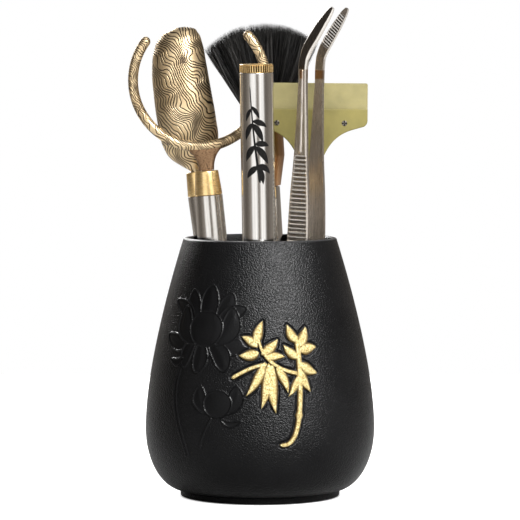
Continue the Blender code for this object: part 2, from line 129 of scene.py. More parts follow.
class Shape:
    """Points and faces of one piece, gathered from rings of points."""

    def __init__(self):
        self.points = []
        self.faces = []
        self.marks = {"dark": [], "warm": [], "pale": []}
        self.count = 0

    def add_points(self, points, marks):
        """Marks are numbers from 0 to 1 at each point, which the materials read."""
        first = self.count
        points = np.asarray(points, float).reshape(-1, 3)
        self.points.append(points)
        self.count += len(points)
        for key, values in self.marks.items():
            values.append(np.broadcast_to(np.ravel((marks or {}).get(key, 0.0)), len(points)))
        return first

    def add_rings(self, rings, loop=False, marks=None):
        """A skin over rings, with both ends filled, or with the last ring joined to the first."""
        rings = np.asarray(rings, float)
        rows, columns = rings.shape[:2]
        first = self.add_points(rings, marks)
        for i in range(rows if loop else rows - 1):
            low = first + i * columns
            high = first + ((i + 1) % rows) * columns
            for j in range(columns):
                k = (j + 1) % columns
                self.faces.append((low + j, low + k, high + k, high + j))
        if not loop:
            top = first + (rows - 1) * columns
            self.faces.append(tuple(range(first + columns - 1, first - 1, -1)))
            self.faces.append(tuple(range(top, top + columns)))
        return self

    def add_turned(self, profile, steps=ROUND):
        """A turned body. Its profile is (radius, height) points; ends on the axis become caps."""
        inner = [point for point in profile if point[0] > 1e-6]
        angles = around(steps)
        rings = [points_at(radius * np.cos(angles), radius * np.sin(angles), height)
                 for radius, height in inner]
        return self.add_rings(rings, loop=len(inner) == len(profile))

    def finish(self, name, material, body, tool=None, cad=None, slot=None, crease=35):
        """Make the object and set it in its frame. It rides on its body, in place of its CAD node."""
        mesh = bpy.data.meshes.new(name)
        mesh.from_pydata(np.concatenate(self.points) * MM, [], self.faces)
        shape = bmesh.new()
        shape.from_mesh(mesh)
        bmesh.ops.recalc_face_normals(shape, faces=shape.faces)
        shape.to_mesh(mesh)
        shape.free()
        for key, values in self.marks.items():
            joined = np.concatenate(values)
            if joined.any():
                mesh.attributes.new(key, "FLOAT", "POINT").data.foreach_set("value", joined)
        mesh.polygons.foreach_set("use_smooth", [True] * len(mesh.polygons))
        mesh.set_sharp_from_angle(angle=math.radians(crease))
        mesh.materials.append(material)
        obj = bpy.data.objects.new(name, mesh)
        bpy.context.scene.collection.objects.link(obj)
        if tool is not None:
            obj.matrix_world = tool
        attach(obj, body)
        if cad:
            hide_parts(cad)


def around(count):
    """Angles round a full circle."""
    return np.linspace(0, TURN, count, endpoint=False)


def rounded(profile, radius):
    """The profile with its inside corners cut to small arcs. The two end points stay."""
    made = [profile[0]]
    for before, corner, after in zip(profile, profile[1:], profile[2:]):
        corner_at = np.array(corner, float)
        ends = []
        for other in (before, after):
            leg = np.array(other, float) - corner_at
            length = np.linalg.norm(leg)
            ends.append(corner_at + leg / max(length, 1e-9) * min(radius, length * 0.45))
        for t in np.linspace(0, 1, 4):
            made.append(tuple((1 - t) ** 2 * ends[0] + 2 * (1 - t) * t * corner_at + t * t * ends[1]))
    made.append(profile[-1])
    return made


def tube_profile(radius, bore, low, high, ease):
    """A straight tube's closed profile, with all its corners rounded."""
    wrapped = [(bore, high), (radius, high), (radius, low), (bore, low), (bore, high), (radius, high)]
    return rounded(wrapped, ease)[1:-1]


def curve_points(controls, count):
    """Points on a Bezier curve of any order, evenly in its parameter."""
    controls = [np.array(control, float) for control in controls]
    made = []
    for t in np.linspace(0, 1, count):
        row = controls
        while len(row) > 1:
            row = [a * (1 - t) + b * t for a, b in zip(row, row[1:])]
        made.append(row[0])
    return np.array(made)


def smooth_rows(stations, places):
    """Rows of values at given places, by a smooth curve through a table's rows."""
    table = np.array(stations, float)
    x = table[:, 0]
    slopes = np.gradient(table[:, 1:], x, axis=0)
    made = []
    for place in places:
        i = int(np.clip(np.searchsorted(x, place) - 1, 0, len(x) - 2))
        width = x[i + 1] - x[i]
        t = (place - x[i]) / width
        a, b = table[i, 1:], table[i + 1, 1:]
        slope_a, slope_b = slopes[i] * width, slopes[i + 1] * width
        made.append((2 * t**3 - 3 * t**2 + 1) * a + (t**3 - 2 * t**2 + t) * slope_a
                    + (3 * t**2 - 2 * t**3) * b + (t**3 - t**2) * slope_b)
    return np.array(made)


def step(low, high, value):
    """0 below low, 1 above high, and smooth between."""
    t = np.clip((value - low) / (high - low), 0, 1)
    return t * t * (3 - 2 * t)


def between(rise, fall, value):
    """1 between two smooth steps, and 0 outside them."""
    return step(*rise, value) * (1 - step(*fall, value))


def points_at(x, y, z):
    """Points from their X, Y and Z, each of which is many numbers or one for all."""
    return np.stack(np.broadcast_arrays(x, y, z), axis=-1)


def square_rings(places, rows, corners, power):
    """Rings of rounded squares. Each row holds a ring's half width and half thickness."""
    c, s = np.cos(around(corners)), np.sin(around(corners))
    x = np.copysign(np.abs(c) ** power, c)
    y = np.copysign(np.abs(s) ** power, s)
    return [points_at(half * x, thick * y, place) for place, (half, thick) in zip(places, rows)]


# ------------ materials


def put(tree, socket, value):
    """Link a socket, or set its value."""
    if isinstance(value, bpy.types.NodeSocket):
        tree.links.new(value, socket)
    elif isinstance(value, tuple) and socket.type == "RGBA":
        socket.default_value = shade(value)
    else:
        socket.default_value = value


def feed(tree, node, **inputs):
    """Set or link a node's inputs. A name's _ stands for a space."""
    for key, value in inputs.items():
        put(tree, node.inputs[key.replace("_", " ")], value)


def start_material(name, metallic):
    material = bpy.data.materials.new(name)
    material.use_nodes = True
    shader = material.node_tree.nodes["Principled BSDF"]
    shader.inputs["Metallic"].default_value = metallic
    return material, material.node_tree, shader


def add_node(tree, kind, settings=None, **inputs):
    made = tree.nodes.new(kind)
    for key, value in (settings or {}).items():
        setattr(made, key, value)
    feed(tree, made, **inputs)
    return made


def maths(tree, operation, *values):
    made = add_node(tree, "ShaderNodeMath", {"operation": operation})
    for socket, value in zip(made.inputs, values):
        put(tree, socket, value)
    return made.outputs[0]


def scaled(tree, value, gain, base):
    """value * gain + base"""
    return maths(tree, "MULTIPLY_ADD", value, gain, base)


def ramp(tree, value, stops):
    """A colour, or a grey, that runs through stops of (place, colour)."""
    made = add_node(tree, "ShaderNodeValToRGB", Fac=value)
    points = made.color_ramp.elements
    points.remove(points[-1])
    points[0].position = stops[0][0]
    points[0].color = shade(stops[0][1])
    for place, colour in stops[1:]:
        points.new(place).color = shade(colour)
    return made.outputs["Color"]


def two_tone(tree, value, low, high):
    return ramp(tree, value, [(0.3, low), (0.7, high)])


def shade(colour):
    return (*colour, 1) if isinstance(colour, tuple) else (colour, colour, colour, 1)


def mark(tree, key):
    """A number stored at the piece's points."""
    return add_node(tree, "ShaderNodeAttribute", {"attribute_name": key}).outputs["Fac"]


def coordinates(tree, scale=(1, 1, 1)):
    """Place in the piece's own frame, in millimetres times scale."""
    place = add_node(tree, "ShaderNodeTexCoord").outputs["Object"]
    sizes = tuple(1000 * value for value in scale)
    return add_node(tree, "ShaderNodeMapping", Vector=place, Scale=sizes).outputs["Vector"]


def noise(tree, place, scale, detail=3.0, roughness=0.5):
    return add_node(tree, "ShaderNodeTexNoise", Vector=place, Scale=scale, Detail=detail,
                    Roughness=roughness).outputs["Fac"]


def mix(tree, share, first, second):
    """The first colour at a share of 0 and the second at 1."""
    made = add_node(tree, "ShaderNodeMix", {"data_type": "RGBA"})
    for index, value in ((0, share), (6, first), (7, second)):
        put(tree, made.inputs[index], value)
    return made.outputs[2]


def bump(tree, height, distance_mm, strength=1.0):
    return add_node(tree, "ShaderNodeBump", Height=height, Distance=distance_mm * MM,
                    Strength=strength).outputs["Normal"]


def ceramic_material():
    """Matte black glaze with a fine leathery pebble, which is smoother on the relief. The pale mark paints a
    thin highlight along the rim.
    """
    material, tree, shader = start_material("black_glaze", 0.0)
    place = coordinates(tree)
    cells = add_node(tree, "ShaderNodeTexVoronoi", {"feature": "SMOOTH_F1"}, Vector=place, Scale=1.5,
                     Smoothness=0.3, Randomness=1.0).outputs["Distance"]
    grain = noise(tree, place, 2.2, 2.0, 0.55)
    plain = scaled(tree, mark(tree, "dark"), -0.8, 1.0)
    pebble = maths(tree, "MULTIPLY", maths(tree, "SUBTRACT", grain, cells), plain)
    cloud = noise(tree, place, 0.05)
    tone = two_tone(tree, cloud, (0.0009, 0.0009, 0.0010), (0.0018, 0.0018, 0.0019))
    feed(tree, shader, Base_Color=mix(tree, mark(tree, "pale"), tone, (0.012, 0.012, 0.0125)),
         Roughness=scaled(tree, grain, 0.12, 0.28), Specular_IOR_Level=0.07,
         Normal=bump(tree, pebble, 0.19, 0.95))
    return material


def gold_leaf_material():
    """Grainy gold paint on the raised sprig, worn brown in its pits, with painted shade in brown along its
    edges.
    """
    material, tree, shader = start_material("gold_paint", 0.8)
    place = coordinates(tree)
    grain = noise(tree, place, 1.5, 4.0, 0.75)
    patches = noise(tree, place, 0.45)
    tone = ramp(tree, grain, [(0.36, (0.20, 0.125, 0.03)), (0.47, (0.54, 0.41, 0.15)),
                              (0.60, (0.88, 0.77, 0.44))])
    worn = mix(tree, ramp(tree, patches, [(0.4, 0.0), (0.65, 0.35)]), tone, (0.72, 0.60, 0.32))
    # The dark mark paints brown shade down the strokes' sloping edges.
    feed(tree, shader, Base_Color=mix(tree, mark(tree, "dark"), worn, (0.13, 0.075, 0.02)),
         Roughness=scaled(tree, patches, 0.3, 0.32), Normal=bump(tree, grain, 0.45))
    return material


def steel_material(name, tone, roughness):
    """Brushed steel, streaked along the piece's Z."""
    material, tree, shader = start_material(name, 1.0)
    streaks = noise(tree, coordinates(tree, (4.0, 4.0, 0.03)), 1.0, 4.0, 0.7)
    fine = noise(tree, coordinates(tree, (14.0, 14.0, 0.12)), 1.0, 2.0, 0.6)
    light = tuple(min(1.0, value * 1.12) for value in tone)
    dark = tuple(value * 0.80 for value in tone)
    plain = two_tone(tree, streaks, dark, light)
    warmed = mix(tree, mark(tree, "warm"), plain, (0.36, 0.21, 0.11))
    # The dark mark paints shade in the grip's grooves, inside the tips' bends and in the screws' slots; it
    # also darkens the screw heads and the tips' outer faces.
    darkened = mix(tree, mark(tree, "dark"), warmed, (0.03, 0.028, 0.026))
    # The pale mark paints highlights on the grip's rib lands and the tip's teeth, and pales the tips' edges.
    pale = mark(tree, "pale")
    feed(tree, shader, Base_Color=mix(tree, pale, darkened, (0.62, 0.60, 0.57)),
         Metallic=scaled(tree, pale, -0.6, 1.0), Anisotropic=0.3,
         Roughness=scaled(tree, fine, 0.35 * roughness, 0.825 * roughness),
         Normal=bump(tree, fine, 0.02, 0.35))
    return material


def gold_metal_material():
    """Satin gold plate for collars and the case's cap."""
    material, tree, shader = start_material("gold_plate", 1.0)
    wear = noise(tree, coordinates(tree), 0.5, 4.0, 0.6)
    turned = noise(tree, coordinates(tree, (0.05, 0.05, 9.0)), 1.0, 3.0, 0.7)
    plate = ramp(tree, wear, [(0.3, (0.74, 0.50, 0.21)), (0.6, (0.88, 0.65, 0.32)),
                              (0.85, (0.94, 0.76, 0.45))])
    # The dark mark paints shade in the cap's knurl grooves.
    feed(tree, shader, Base_Color=mix(tree, mark(tree, "dark"), plate, (0.10, 0.055, 0.018)),
         Roughness=scaled(tree, turned, 0.2, 0.18), Normal=bump(tree, turned, 0.02, 0.3))
    return material


def contour_distance(tree, place, drift, cell_mm, swirl):
    """Millimetres in X-Z to the nearest contour line of a field that drifts one way and swirls."""
    nudge = 0.1

    def field(shift):
        spot = add_node(tree, "ShaderNodeMapping", Vector=place, Location=shift,
                        Scale=(1.0, 0.4, 1.0)).outputs["Vector"]
        parts = add_node(tree, "ShaderNodeSeparateXYZ", Vector=spot)
        total = maths(tree, "MULTIPLY", noise(tree, spot, 1 / cell_mm, 1.0, 0.35), swirl)
        for axis, share in zip("XYZ", drift):
            total = scaled(tree, parts.outputs[axis], share, total)
        return total

    here = field((0.0, 0.0, 0.0))
    steep = 0.0
    for shift in ((nudge, 0.0, 0.0), (0.0, 0.0, nudge)):
        rise = maths(tree, "DIVIDE", maths(tree, "SUBTRACT", field(shift), here), nudge)
        steep = maths(tree, "MULTIPLY_ADD", rise, rise, steep)
    steep = maths(tree, "MAXIMUM", maths(tree, "SQRT", steep), 0.08)
    return maths(tree, "DIVIDE", maths(tree, "PINGPONG", here, 0.5), steep)


def bronze_material(name, drift, cell_mm, swirl, half_cut):
    """Antique bronze, engraved all over with fine flowing contour lines, dark in the cuts."""
    material, tree, shader = start_material(name, 1.0)
    place = coordinates(tree)
    distance = contour_distance(tree, place, drift, cell_mm, swirl)
    cut = ramp(tree, distance, [(half_cut, 0.0), (half_cut + 0.11, 1.0)])
    cloud = noise(tree, place, 0.10, 3.0, 0.55)
    fine = noise(tree, place, 1.8, 3.0, 0.6)
    metal = ramp(tree, cloud, [(0.28, (0.40, 0.295, 0.17)), (0.5, (0.61, 0.47, 0.28)),
                               (0.72, (0.78, 0.62, 0.40))])
    feed(tree, shader, Base_Color=mix(tree, cut, (0.055, 0.040, 0.028), metal),
         Roughness=scaled(tree, fine, 0.16, 0.34),
         Normal=bump(tree, scaled(tree, fine, 0.12, cut), 0.12, 0.8))
    return material


def speckled_material():
    """Reddish bronze of the fork's neck, pitted with small dark specks."""
    material, tree, shader = start_material("speckled_bronze", 1.0)
    specks = noise(tree, coordinates(tree), 1.5, 4.0, 0.7)
    tone = ramp(tree, specks, [(0.34, (0.042, 0.022, 0.013)), (0.46, (0.177, 0.107, 0.060)),
                               (0.7, (0.24, 0.153, 0.087))])
    feed(tree, shader, Base_Color=tone, Roughness=scaled(tree, specks, 0.3, 0.28),
         Normal=bump(tree, specks, 0.10, 0.8))
    return material


def hair_material(name, low, high):
    """Dark bristles in streaks; some locks are paler."""
    material, tree, shader = start_material(name, 0.0)
    strands = noise(tree, coordinates(tree, (3.0, 3.0, 0.05)), 1.0, 3.0, 0.6)
    plain = ramp(tree, strands, [(0.35, low), (0.7, high)])
    feed(tree, shader, Base_Color=mix(tree, mark(tree, "pale"), plain, (0.10, 0.095, 0.09)),
         Roughness=0.42, Specular_IOR_Level=0.18)
    return material


def copper_material():
    """Copper-brown plated ferrule with fine lengthwise drawing marks."""
    material, tree, shader = start_material("copper_plate", 1.0)
    streaks = noise(tree, coordinates(tree, (3.0, 3.0, 0.04)), 1.0, 4.0, 0.7)
    stain = noise(tree, coordinates(tree), 0.25, 4.0, 0.6)
    base = two_tone(tree, streaks, (0.28, 0.15, 0.072), (0.46, 0.285, 0.155))
    stained = mix(tree, ramp(tree, stain, [(0.45, 0.0), (0.75, 0.5)]), base, (0.30, 0.15, 0.08))
    feed(tree, shader, Base_Color=stained, Roughness=0.32, Normal=bump(tree, streaks, 0.03, 0.4))
    return material


def soft_green_material(name, low, high, roughness, glow):
    """Yellow-green moulded rubber or plastic, faintly mottled and a little translucent."""
    material, tree, shader = start_material(name, 0.0)
    cloud = noise(tree, coordinates(tree), 0.09, 4.0, 0.6)
    fine = noise(tree, coordinates(tree), 2.2, 3.0, 0.6)
    feed(tree, shader, Base_Color=two_tone(tree, cloud, low, high),
         Roughness=scaled(tree, fine, 0.18, roughness - 0.09), Normal=bump(tree, fine, 0.03, 0.5),
         Subsurface_Weight=glow, Subsurface_Scale=0.002, Subsurface_Radius=(1.0, 1.0, 0.4))
    return material


def ink_material():
    """Black etched ink with a slight break-up."""
    material, tree, shader = start_material("black_ink", 0.0)
    fleck = noise(tree, coordinates(tree), 1.6, 4.0, 0.7)
    tone = ramp(tree, fleck, [(0.3, (0.003, 0.003, 0.003)), (0.75, (0.016, 0.0155, 0.015))])
    feed(tree, shader, Base_Color=tone, Roughness=scaled(tree, fleck, 0.3, 0.55), Specular_IOR_Level=0.04)
    return material


def rubber_material():
    material, tree, shader = start_material("seal_rubber", 0.0)
    grain = noise(tree, coordinates(tree), 3.0)
    tone = two_tone(tree, grain, (0.012, 0.012, 0.012), (0.035, 0.035, 0.035))
    feed(tree, shader, Base_Color=tone, Roughness=0.6, Normal=bump(tree, grain, 0.02, 0.5))
    return material


glaze = ceramic_material()
gold_paint = gold_leaf_material()
handle_steel = steel_material("handle_steel", (0.66, 0.635, 0.60), 0.15)
case_steel = steel_material("case_steel", (0.70, 0.68, 0.65), 0.15)
grip_steel = steel_material("tweezer_steel", (0.62, 0.57, 0.51), 0.28)
gold_plate = gold_metal_material()
scoop_bronze = bronze_material("scoop_bronze", (0.74, 0.12, 0.38), 9.0, 11.0, 0.18)
ring_bronze = bronze_material("ring_bronze", (0.80, 0.24, 0.58), 5.0, 6.0, 0.14)
neck_bronze = speckled_material()
hair = hair_material("bristle_hair", (0.002, 0.002, 0.002), (0.009, 0.0085, 0.008))
hair_core = hair_material("bristle_core", (0.002, 0.002, 0.002), (0.005, 0.005, 0.005))
copper = copper_material()
blade_green = soft_green_material("blade_green", (0.205, 0.180, 0.070), (0.290, 0.252, 0.106), 0.50, 0.15)
shell_green = soft_green_material("shell_green", (0.150, 0.127, 0.028), (0.210, 0.178, 0.044), 0.50, 0.05)
ink = ink_material()
seal_rubber = rubber_material()


# ------------ strokes laid on a curved surface


def stroke_rings(surface, path, half_widths, rise, sink, across):
    """Rings of a domed brush stroke. path is in the surface's own (u, v) plane."""
    path = np.array(path, float)
    ahead = np.gradient(path, axis=0)
    ahead /= np.maximum(np.linalg.norm(ahead, axis=1), 1e-9)[:, None]
    normal = np.stack([-ahead[:, 1], ahead[:, 0]], axis=1)
    rings = []
    for spot, side, half in zip(path, normal, half_widths):
        full = rise * min(1.0, half / 0.8)
        dome = [(t, full * math.sqrt(max(0.0, 1 - t * t)) ** 0.7) for t in np.linspace(-1, 1, across + 1)]
        section = dome + [(0.5, -sink), (-0.5, -sink)]
        rings.append([surface(*(spot + side * half * t), height) for t, height in section])
    return rings


def leaf(base, tip, width, bend, count=22, blunt=0.75):
    """A leaf's middle line and half widths: full in its lower half, drawn out to a fine tip."""
    base = np.array(base, float)
    tip = np.array(tip, float)
    along = tip - base
    side = np.array([-along[1], along[0]])
    path = curve_points([base, (base + tip) / 2 + side * bend, tip], count)
    t = np.linspace(0, 1, count)
    widths = width * np.sin(math.pi * np.clip(t, 0.004, 0.996) ** blunt) ** 0.85
    return path, np.maximum(widths, 0.02)


def stalk(controls, start_width, end_width, count, joints_at=()):
    """A stem's middle line and half widths, with swellings at its joints."""
    path = curve_points(controls, count)
    t = np.linspace(0, 1, count)
    widths = start_width + (end_width - start_width) * t
    for place in joints_at:
        widths = widths * (1 + 0.45 * np.exp(-((t - place) / 0.018) ** 2))
    return path, widths * np.sqrt(np.clip(np.minimum(t, 1 - t) / 0.03, 0.05, 1))


# ------------ pot


BELLY, _, RIM_TOP = (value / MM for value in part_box("pot_body")[1])
BELLY_LEVEL = 0.263 * RIM_TOP
RIM_OUTER = 0.672 * BELLY
RIM_INNER = 0.612 * BELLY
FOOT = 0.696 * BELLY
UNROLL = 45.0  # the radius at which the relief is drawn flat


def pot_outline():
    """(height, radius) up the outer wall, from the foot to the shoulder of the rim."""
    shoulder = (RIM_OUTER, RIM_TOP - 1.2)
    belly = (BELLY, BELLY_LEVEL)
    upper = curve_points([shoulder, (40.1, 89.3), (BELLY, 53.3), belly], 160)
    lower = curve_points([belly, (BELLY, 17.0), (44.3, 5.0), (35.8, 3.0)], 90)[1:]
    both = np.concatenate([upper, lower])
    return both[::-1, 1], both[::-1, 0]


wall_heights, wall_radii = pot_outline()


def wall_radius(height):
    return np.interp(height, wall_heights, wall_radii)


def pot_surface(u, v, height):
    """A point over the pot's wall: u round from the front, v up, height out from the wall."""
    angle = u / UNROLL
    radius = float(wall_radius(v))
    slope = float(wall_radius(v + 0.5) - wall_radius(v - 0.5))
    length = math.hypot(1, slope)
    out = radius + height / length
    return (out * math.sin(angle), -out * math.cos(angle), v - height * slope / length)


def sprig_strokes():
    """A generic bamboo sprig: one long hooked stem, with two dense fans of leaves and a side twig."""
    stem = [(15.8, 73.0), (17.6, 60.0), (15.2, 44.0), (17.0, 25.0), (7.6, 27.4)]
    strokes = [
        stalk(stem, 1.35, 0.95, 60, (0.30, 0.58)),
        stalk([(15.8, 57.0), (8.0, 58.0), (0.0, 63.0), (-1.0, 73.5)], 1.0, 0.7, 30, (0.5,)),
        stalk([(3.0, 61.0), (-2.0, 60.5), (-6.0, 58.5), (-11.5, 55.0)], 0.9, 0.95, 24),
    ]
    leaves = [
        # base, tip, half width, bend
        ((-1.6, 69.0), (1.2, 79.0), 2.3, 0.12), ((-1.0, 68.0), (-8.0, 72.5), 2.0, -0.15),
        ((-0.5, 66.0), (-8.8, 64.6), 2.4, 0.14), ((0.5, 65.0), (7.6, 71.4), 2.3, -0.12),
        ((2.0, 63.5), (10.4, 64.0), 2.0, 0.14), ((2.0, 62.0), (-5.4, 47.8), 2.1, 0.10),
        ((3.5, 61.5), (0.6, 42.6), 2.4, 0.09), ((5.0, 61.0), (6.2, 40.6), 2.5, -0.08),
        ((6.5, 60.0), (11.2, 49.0), 2.0, 0.14), ((16.2, 70.0), (12.0, 77.4), 2.2, 0.14),
        ((16.6, 68.0), (20.6, 76.4), 2.5, -0.14), ((16.8, 66.0), (25.0, 67.6), 2.6, 0.14),
        ((16.8, 63.5), (10.0, 69.0), 2.1, 0.16), ((16.6, 61.5), (24.2, 56.8), 2.5, -0.16),
        ((16.4, 59.0), (20.6, 49.2), 2.2, -0.12), ((15.8, 56.0), (11.4, 47.6), 1.7, 0.10),
    ]
    return strokes + [leaf(*values) for values in leaves]


def petal_height(u, v, petal):
    """How far a petal stands out at points of the unrolled wall, and where it covers them."""
    (bu, bv), (tu, tv), width, bend, lift = petal
    along = np.array((tu - bu, tv - bv))
    length = np.linalg.norm(along)
    unit = along / length
    side = np.array((-unit[1], unit[0]))
    du, dv = u - bu, v - bv
    t = (du * unit[0] + dv * unit[1]) / length
    inside = (t > 0) & (t < 1)
    t = np.clip(t, 0.001, 0.999)
    middle = bend * length * np.sin(math.pi * t)
    from_widest = np.where(t < 0.55, (0.55 - t) / 0.55, (t - 0.55) / 0.45)
    half = width * (1 - from_widest**2) ** np.where(t < 0.55, 0.5, 0.62)
    offset = du * side[0] + dv * side[1] - middle
    edge = np.minimum(half - np.abs(offset), np.minimum(t, 1 - t) * length)
    covered = inside & (edge > 0)
    rim = np.exp(-((edge - 0.32) / 0.26) ** 2)
    vein = 0.04 * np.cos(offset / np.maximum(half, 0.3) * 6.0) * step(1.0, 3.0, edge)
    dome = lift * step(0.2, 4.0, edge) * (0.45 + 0.55 * t)
    return np.where(covered, 0.10 + dome + 0.48 * rim + vein, 0.0), covered


def outline_height(u, v, controls, width, height):
    """A thin raised line along a curve."""
    near = np.full(u.shape, 99.0)
    for spot in curve_points(controls, 70):
        near = np.minimum(near, np.hypot(u - spot[0], v - spot[1]))
    return height * np.sqrt(np.clip(1 - (near / width) ** 2, 0, 1))


def lotus_relief(u, v):
    """A generic water-lily relief: an open flower, a bud, a curled leaf, and two stems."""
    stems = [
        [(-34.0, 62.0), (-40.0, 52.0), (-37.5, 40.0), (-31.5, 30.0), (-30.0, 21.0)],
        [(-35.4, 62.0), (-41.8, 51.0), (-38.8, 40.0), (-32.8, 30.0), (-31.2, 21.5)],
        [(-19.5, 38.0), (-21.5, 34.0), (-23.5, 30.0), (-24.2, 25.0)],
    ]
    petals = [
        # base, tip, half width, bend, lift
        ((-28.0, 76.0), (-36.0, 91.5), 4.4, 0.06, 0.20), ((-21.0, 76.0), (-13.0, 90.5), 4.4, -0.06, 0.20),
        ((-25.0, 76.0), (-24.5, 94.0), 5.0, 0.0, 0.25), ((-31.0, 72.0), (-47.0, 86.5), 3.6, -0.15, 0.25),
        ((-19.5, 72.0), (-6.0, 84.5), 3.8, 0.16, 0.25), ((-30.0, 71.5), (-48.5, 71.5), 3.8, 0.14, 0.30),
        ((-20.0, 71.0), (-4.6, 69.6), 3.8, -0.16, 0.30), ((-30.0, 71.0), (-35.0, 58.5), 3.2, -0.10, 0.25),
        ((-26.5, 70.0), (-27.5, 56.6), 3.8, 0.06, 0.30), ((-22.0, 70.0), (-14.0, 57.6), 4.2, 0.10, 0.30),
        ((-30.5, 68.5), (-38.0, 84.5), 4.8, 0.16, 0.35), ((-20.0, 68.5), (-12.0, 84.5), 4.8, -0.16, 0.35),
        ((-25.2, 67.5), (-25.2, 83.0), 8.8, 0.0, 0.50), ((-35.0, 63.0), (-43.0, 61.5), 1.9, 0.22, 0.20),
        ((-20.5, 40.0), (-25.4, 51.8), 3.4, 0.14, 0.25), ((-14.0, 40.0), (-8.8, 51.8), 3.4, -0.14, 0.25),
        ((-17.0, 38.2), (-17.0, 50.0), 6.2, 0.0, 0.45), ((-15.5, 38.0), (-7.0, 37.2), 1.4, -0.22, 0.20),
    ]
    height = np.zeros_like(u)
    for controls in stems:
        height = np.maximum(height, outline_height(u, v, controls, 0.40, 0.46))
    for petal in petals:
        raised, covered = petal_height(u, v, petal)
        height = np.where(covered, raised, height)
    return height


def build_pot():
    """One closed skin: a fine outer wall that carries the relief, then rim, inside and foot."""
    fine = np.radians(np.arange(-70.0, 40.0, 0.34))
    coarse = np.linspace(fine[-1], fine[0] + TURN, 150)[1:-1]
    angles = np.concatenate([fine, coarse])
    heights = np.concatenate([np.linspace(3.0, 19.0, 24)[:-1], np.arange(19.0, 94.0, 0.28),
                              np.linspace(94.0, RIM_TOP - 1.2, 24)])
    signed = (angles + math.pi) % TURN - math.pi
    u, v = np.meshgrid(signed * UNROLL, heights)
    relief = lotus_relief(u, v)
    smooth = np.clip(relief / 0.15, 0, 1)
    strokes = sprig_strokes()
    from_sprig = np.full(u.shape, 99.0)
    zone = (u > -16) & (u < 30) & (v > 20) & (v < 84)
    zone_u, zone_v = u[zone], v[zone]
    close = np.full(zone_u.shape, 99.0)
    for path, widths in strokes:
        for spot, half in zip(path, widths):
            close = np.minimum(close, np.hypot(zone_u - spot[0], zone_v - spot[1]) - half)
    from_sprig[zone] = close
    groove = -0.60 * (1 - step(0.40, 0.95, from_sprig))
    relief = np.where(from_sprig < 1.2, groove, relief)

    slope = (wall_radius(v + 0.4) - wall_radius(v - 0.4)) / 0.8
    length = np.hypot(1, slope)
    out = wall_radius(v) + relief / length
    level = v - relief * slope / length
    wall = points_at(out * np.sin(u / UNROLL), -out * np.cos(u / UNROLL), level)

    def turned(profile):
        return [points_at(r * np.sin(signed), -r * np.cos(signed), z) for r, z in profile]

    foot = [(0.4, 0.0), (26.0, 0.0), (FOOT - 0.7, 0.0), (FOOT - 0.2, 0.2), (FOOT, 0.7), (FOOT, 2.2),
            (FOOT + 0.2, 2.6)]
    lip = [(RIM_OUTER - 0.15, RIM_TOP - 0.6), (RIM_OUTER - 0.5, RIM_TOP - 0.2), (RIM_OUTER - 1.1, RIM_TOP),
           (RIM_INNER + 1.0, RIM_TOP), (RIM_INNER + 0.4, RIM_TOP - 0.25), (RIM_INNER, RIM_TOP - 1.0)]
    inside = curve_points([lip[-1], (36.6, 88.0), (45.2, 52.5), (45.2, 31.0)], 26)[1:]
    bowl = curve_points([(45.2, 31.0), (45.2, 18.0), (41.5, 7.0), (30.0, 6.0)], 16)[1:]
    floor = [(15.0, 6.0), (0.4, 6.0)]
    skin = turned(foot) + list(wall) + turned(lip) + turned(inside) + turned(bowl) + turned(floor)
    smoothness = np.zeros((len(skin), len(signed)))
    smoothness[len(foot):len(foot) + len(wall)] = smooth
    # Painted highlight: a thin pale line round the lip's outer rounding.
    painted_rim_highlight = np.zeros_like(smoothness)
    rim_start = len(foot) + len(wall)
    painted_rim_highlight[rim_start + 1:rim_start + 3] = 1.0
    pot = Shape().add_rings(skin, marks={"dark": smoothness, "pale": painted_rim_highlight})
    pot.finish("pot_glazed_body", glaze, "pot", None, "pot_body", "pot", crease=60)

    sprig = Shape()
    # Painted shade: the strokes darken down their sloping edges.
    painted_edge_shade = [1.0, 0.9, 0.4, 0, 0, 0, 0, 0, 0.4, 0.9, 1.0, 1.0, 1.0]
    for path, widths in strokes:
        rings = stroke_rings(pot_surface, path, widths, 0.75, 0.62, 10)
        sprig.add_rings(rings, marks={"dark": np.tile(painted_edge_shade, len(rings))})
    sprig.finish("pot_gold_sprig", gold_paint, "pot", crease=60)


# ------------ handles and collars


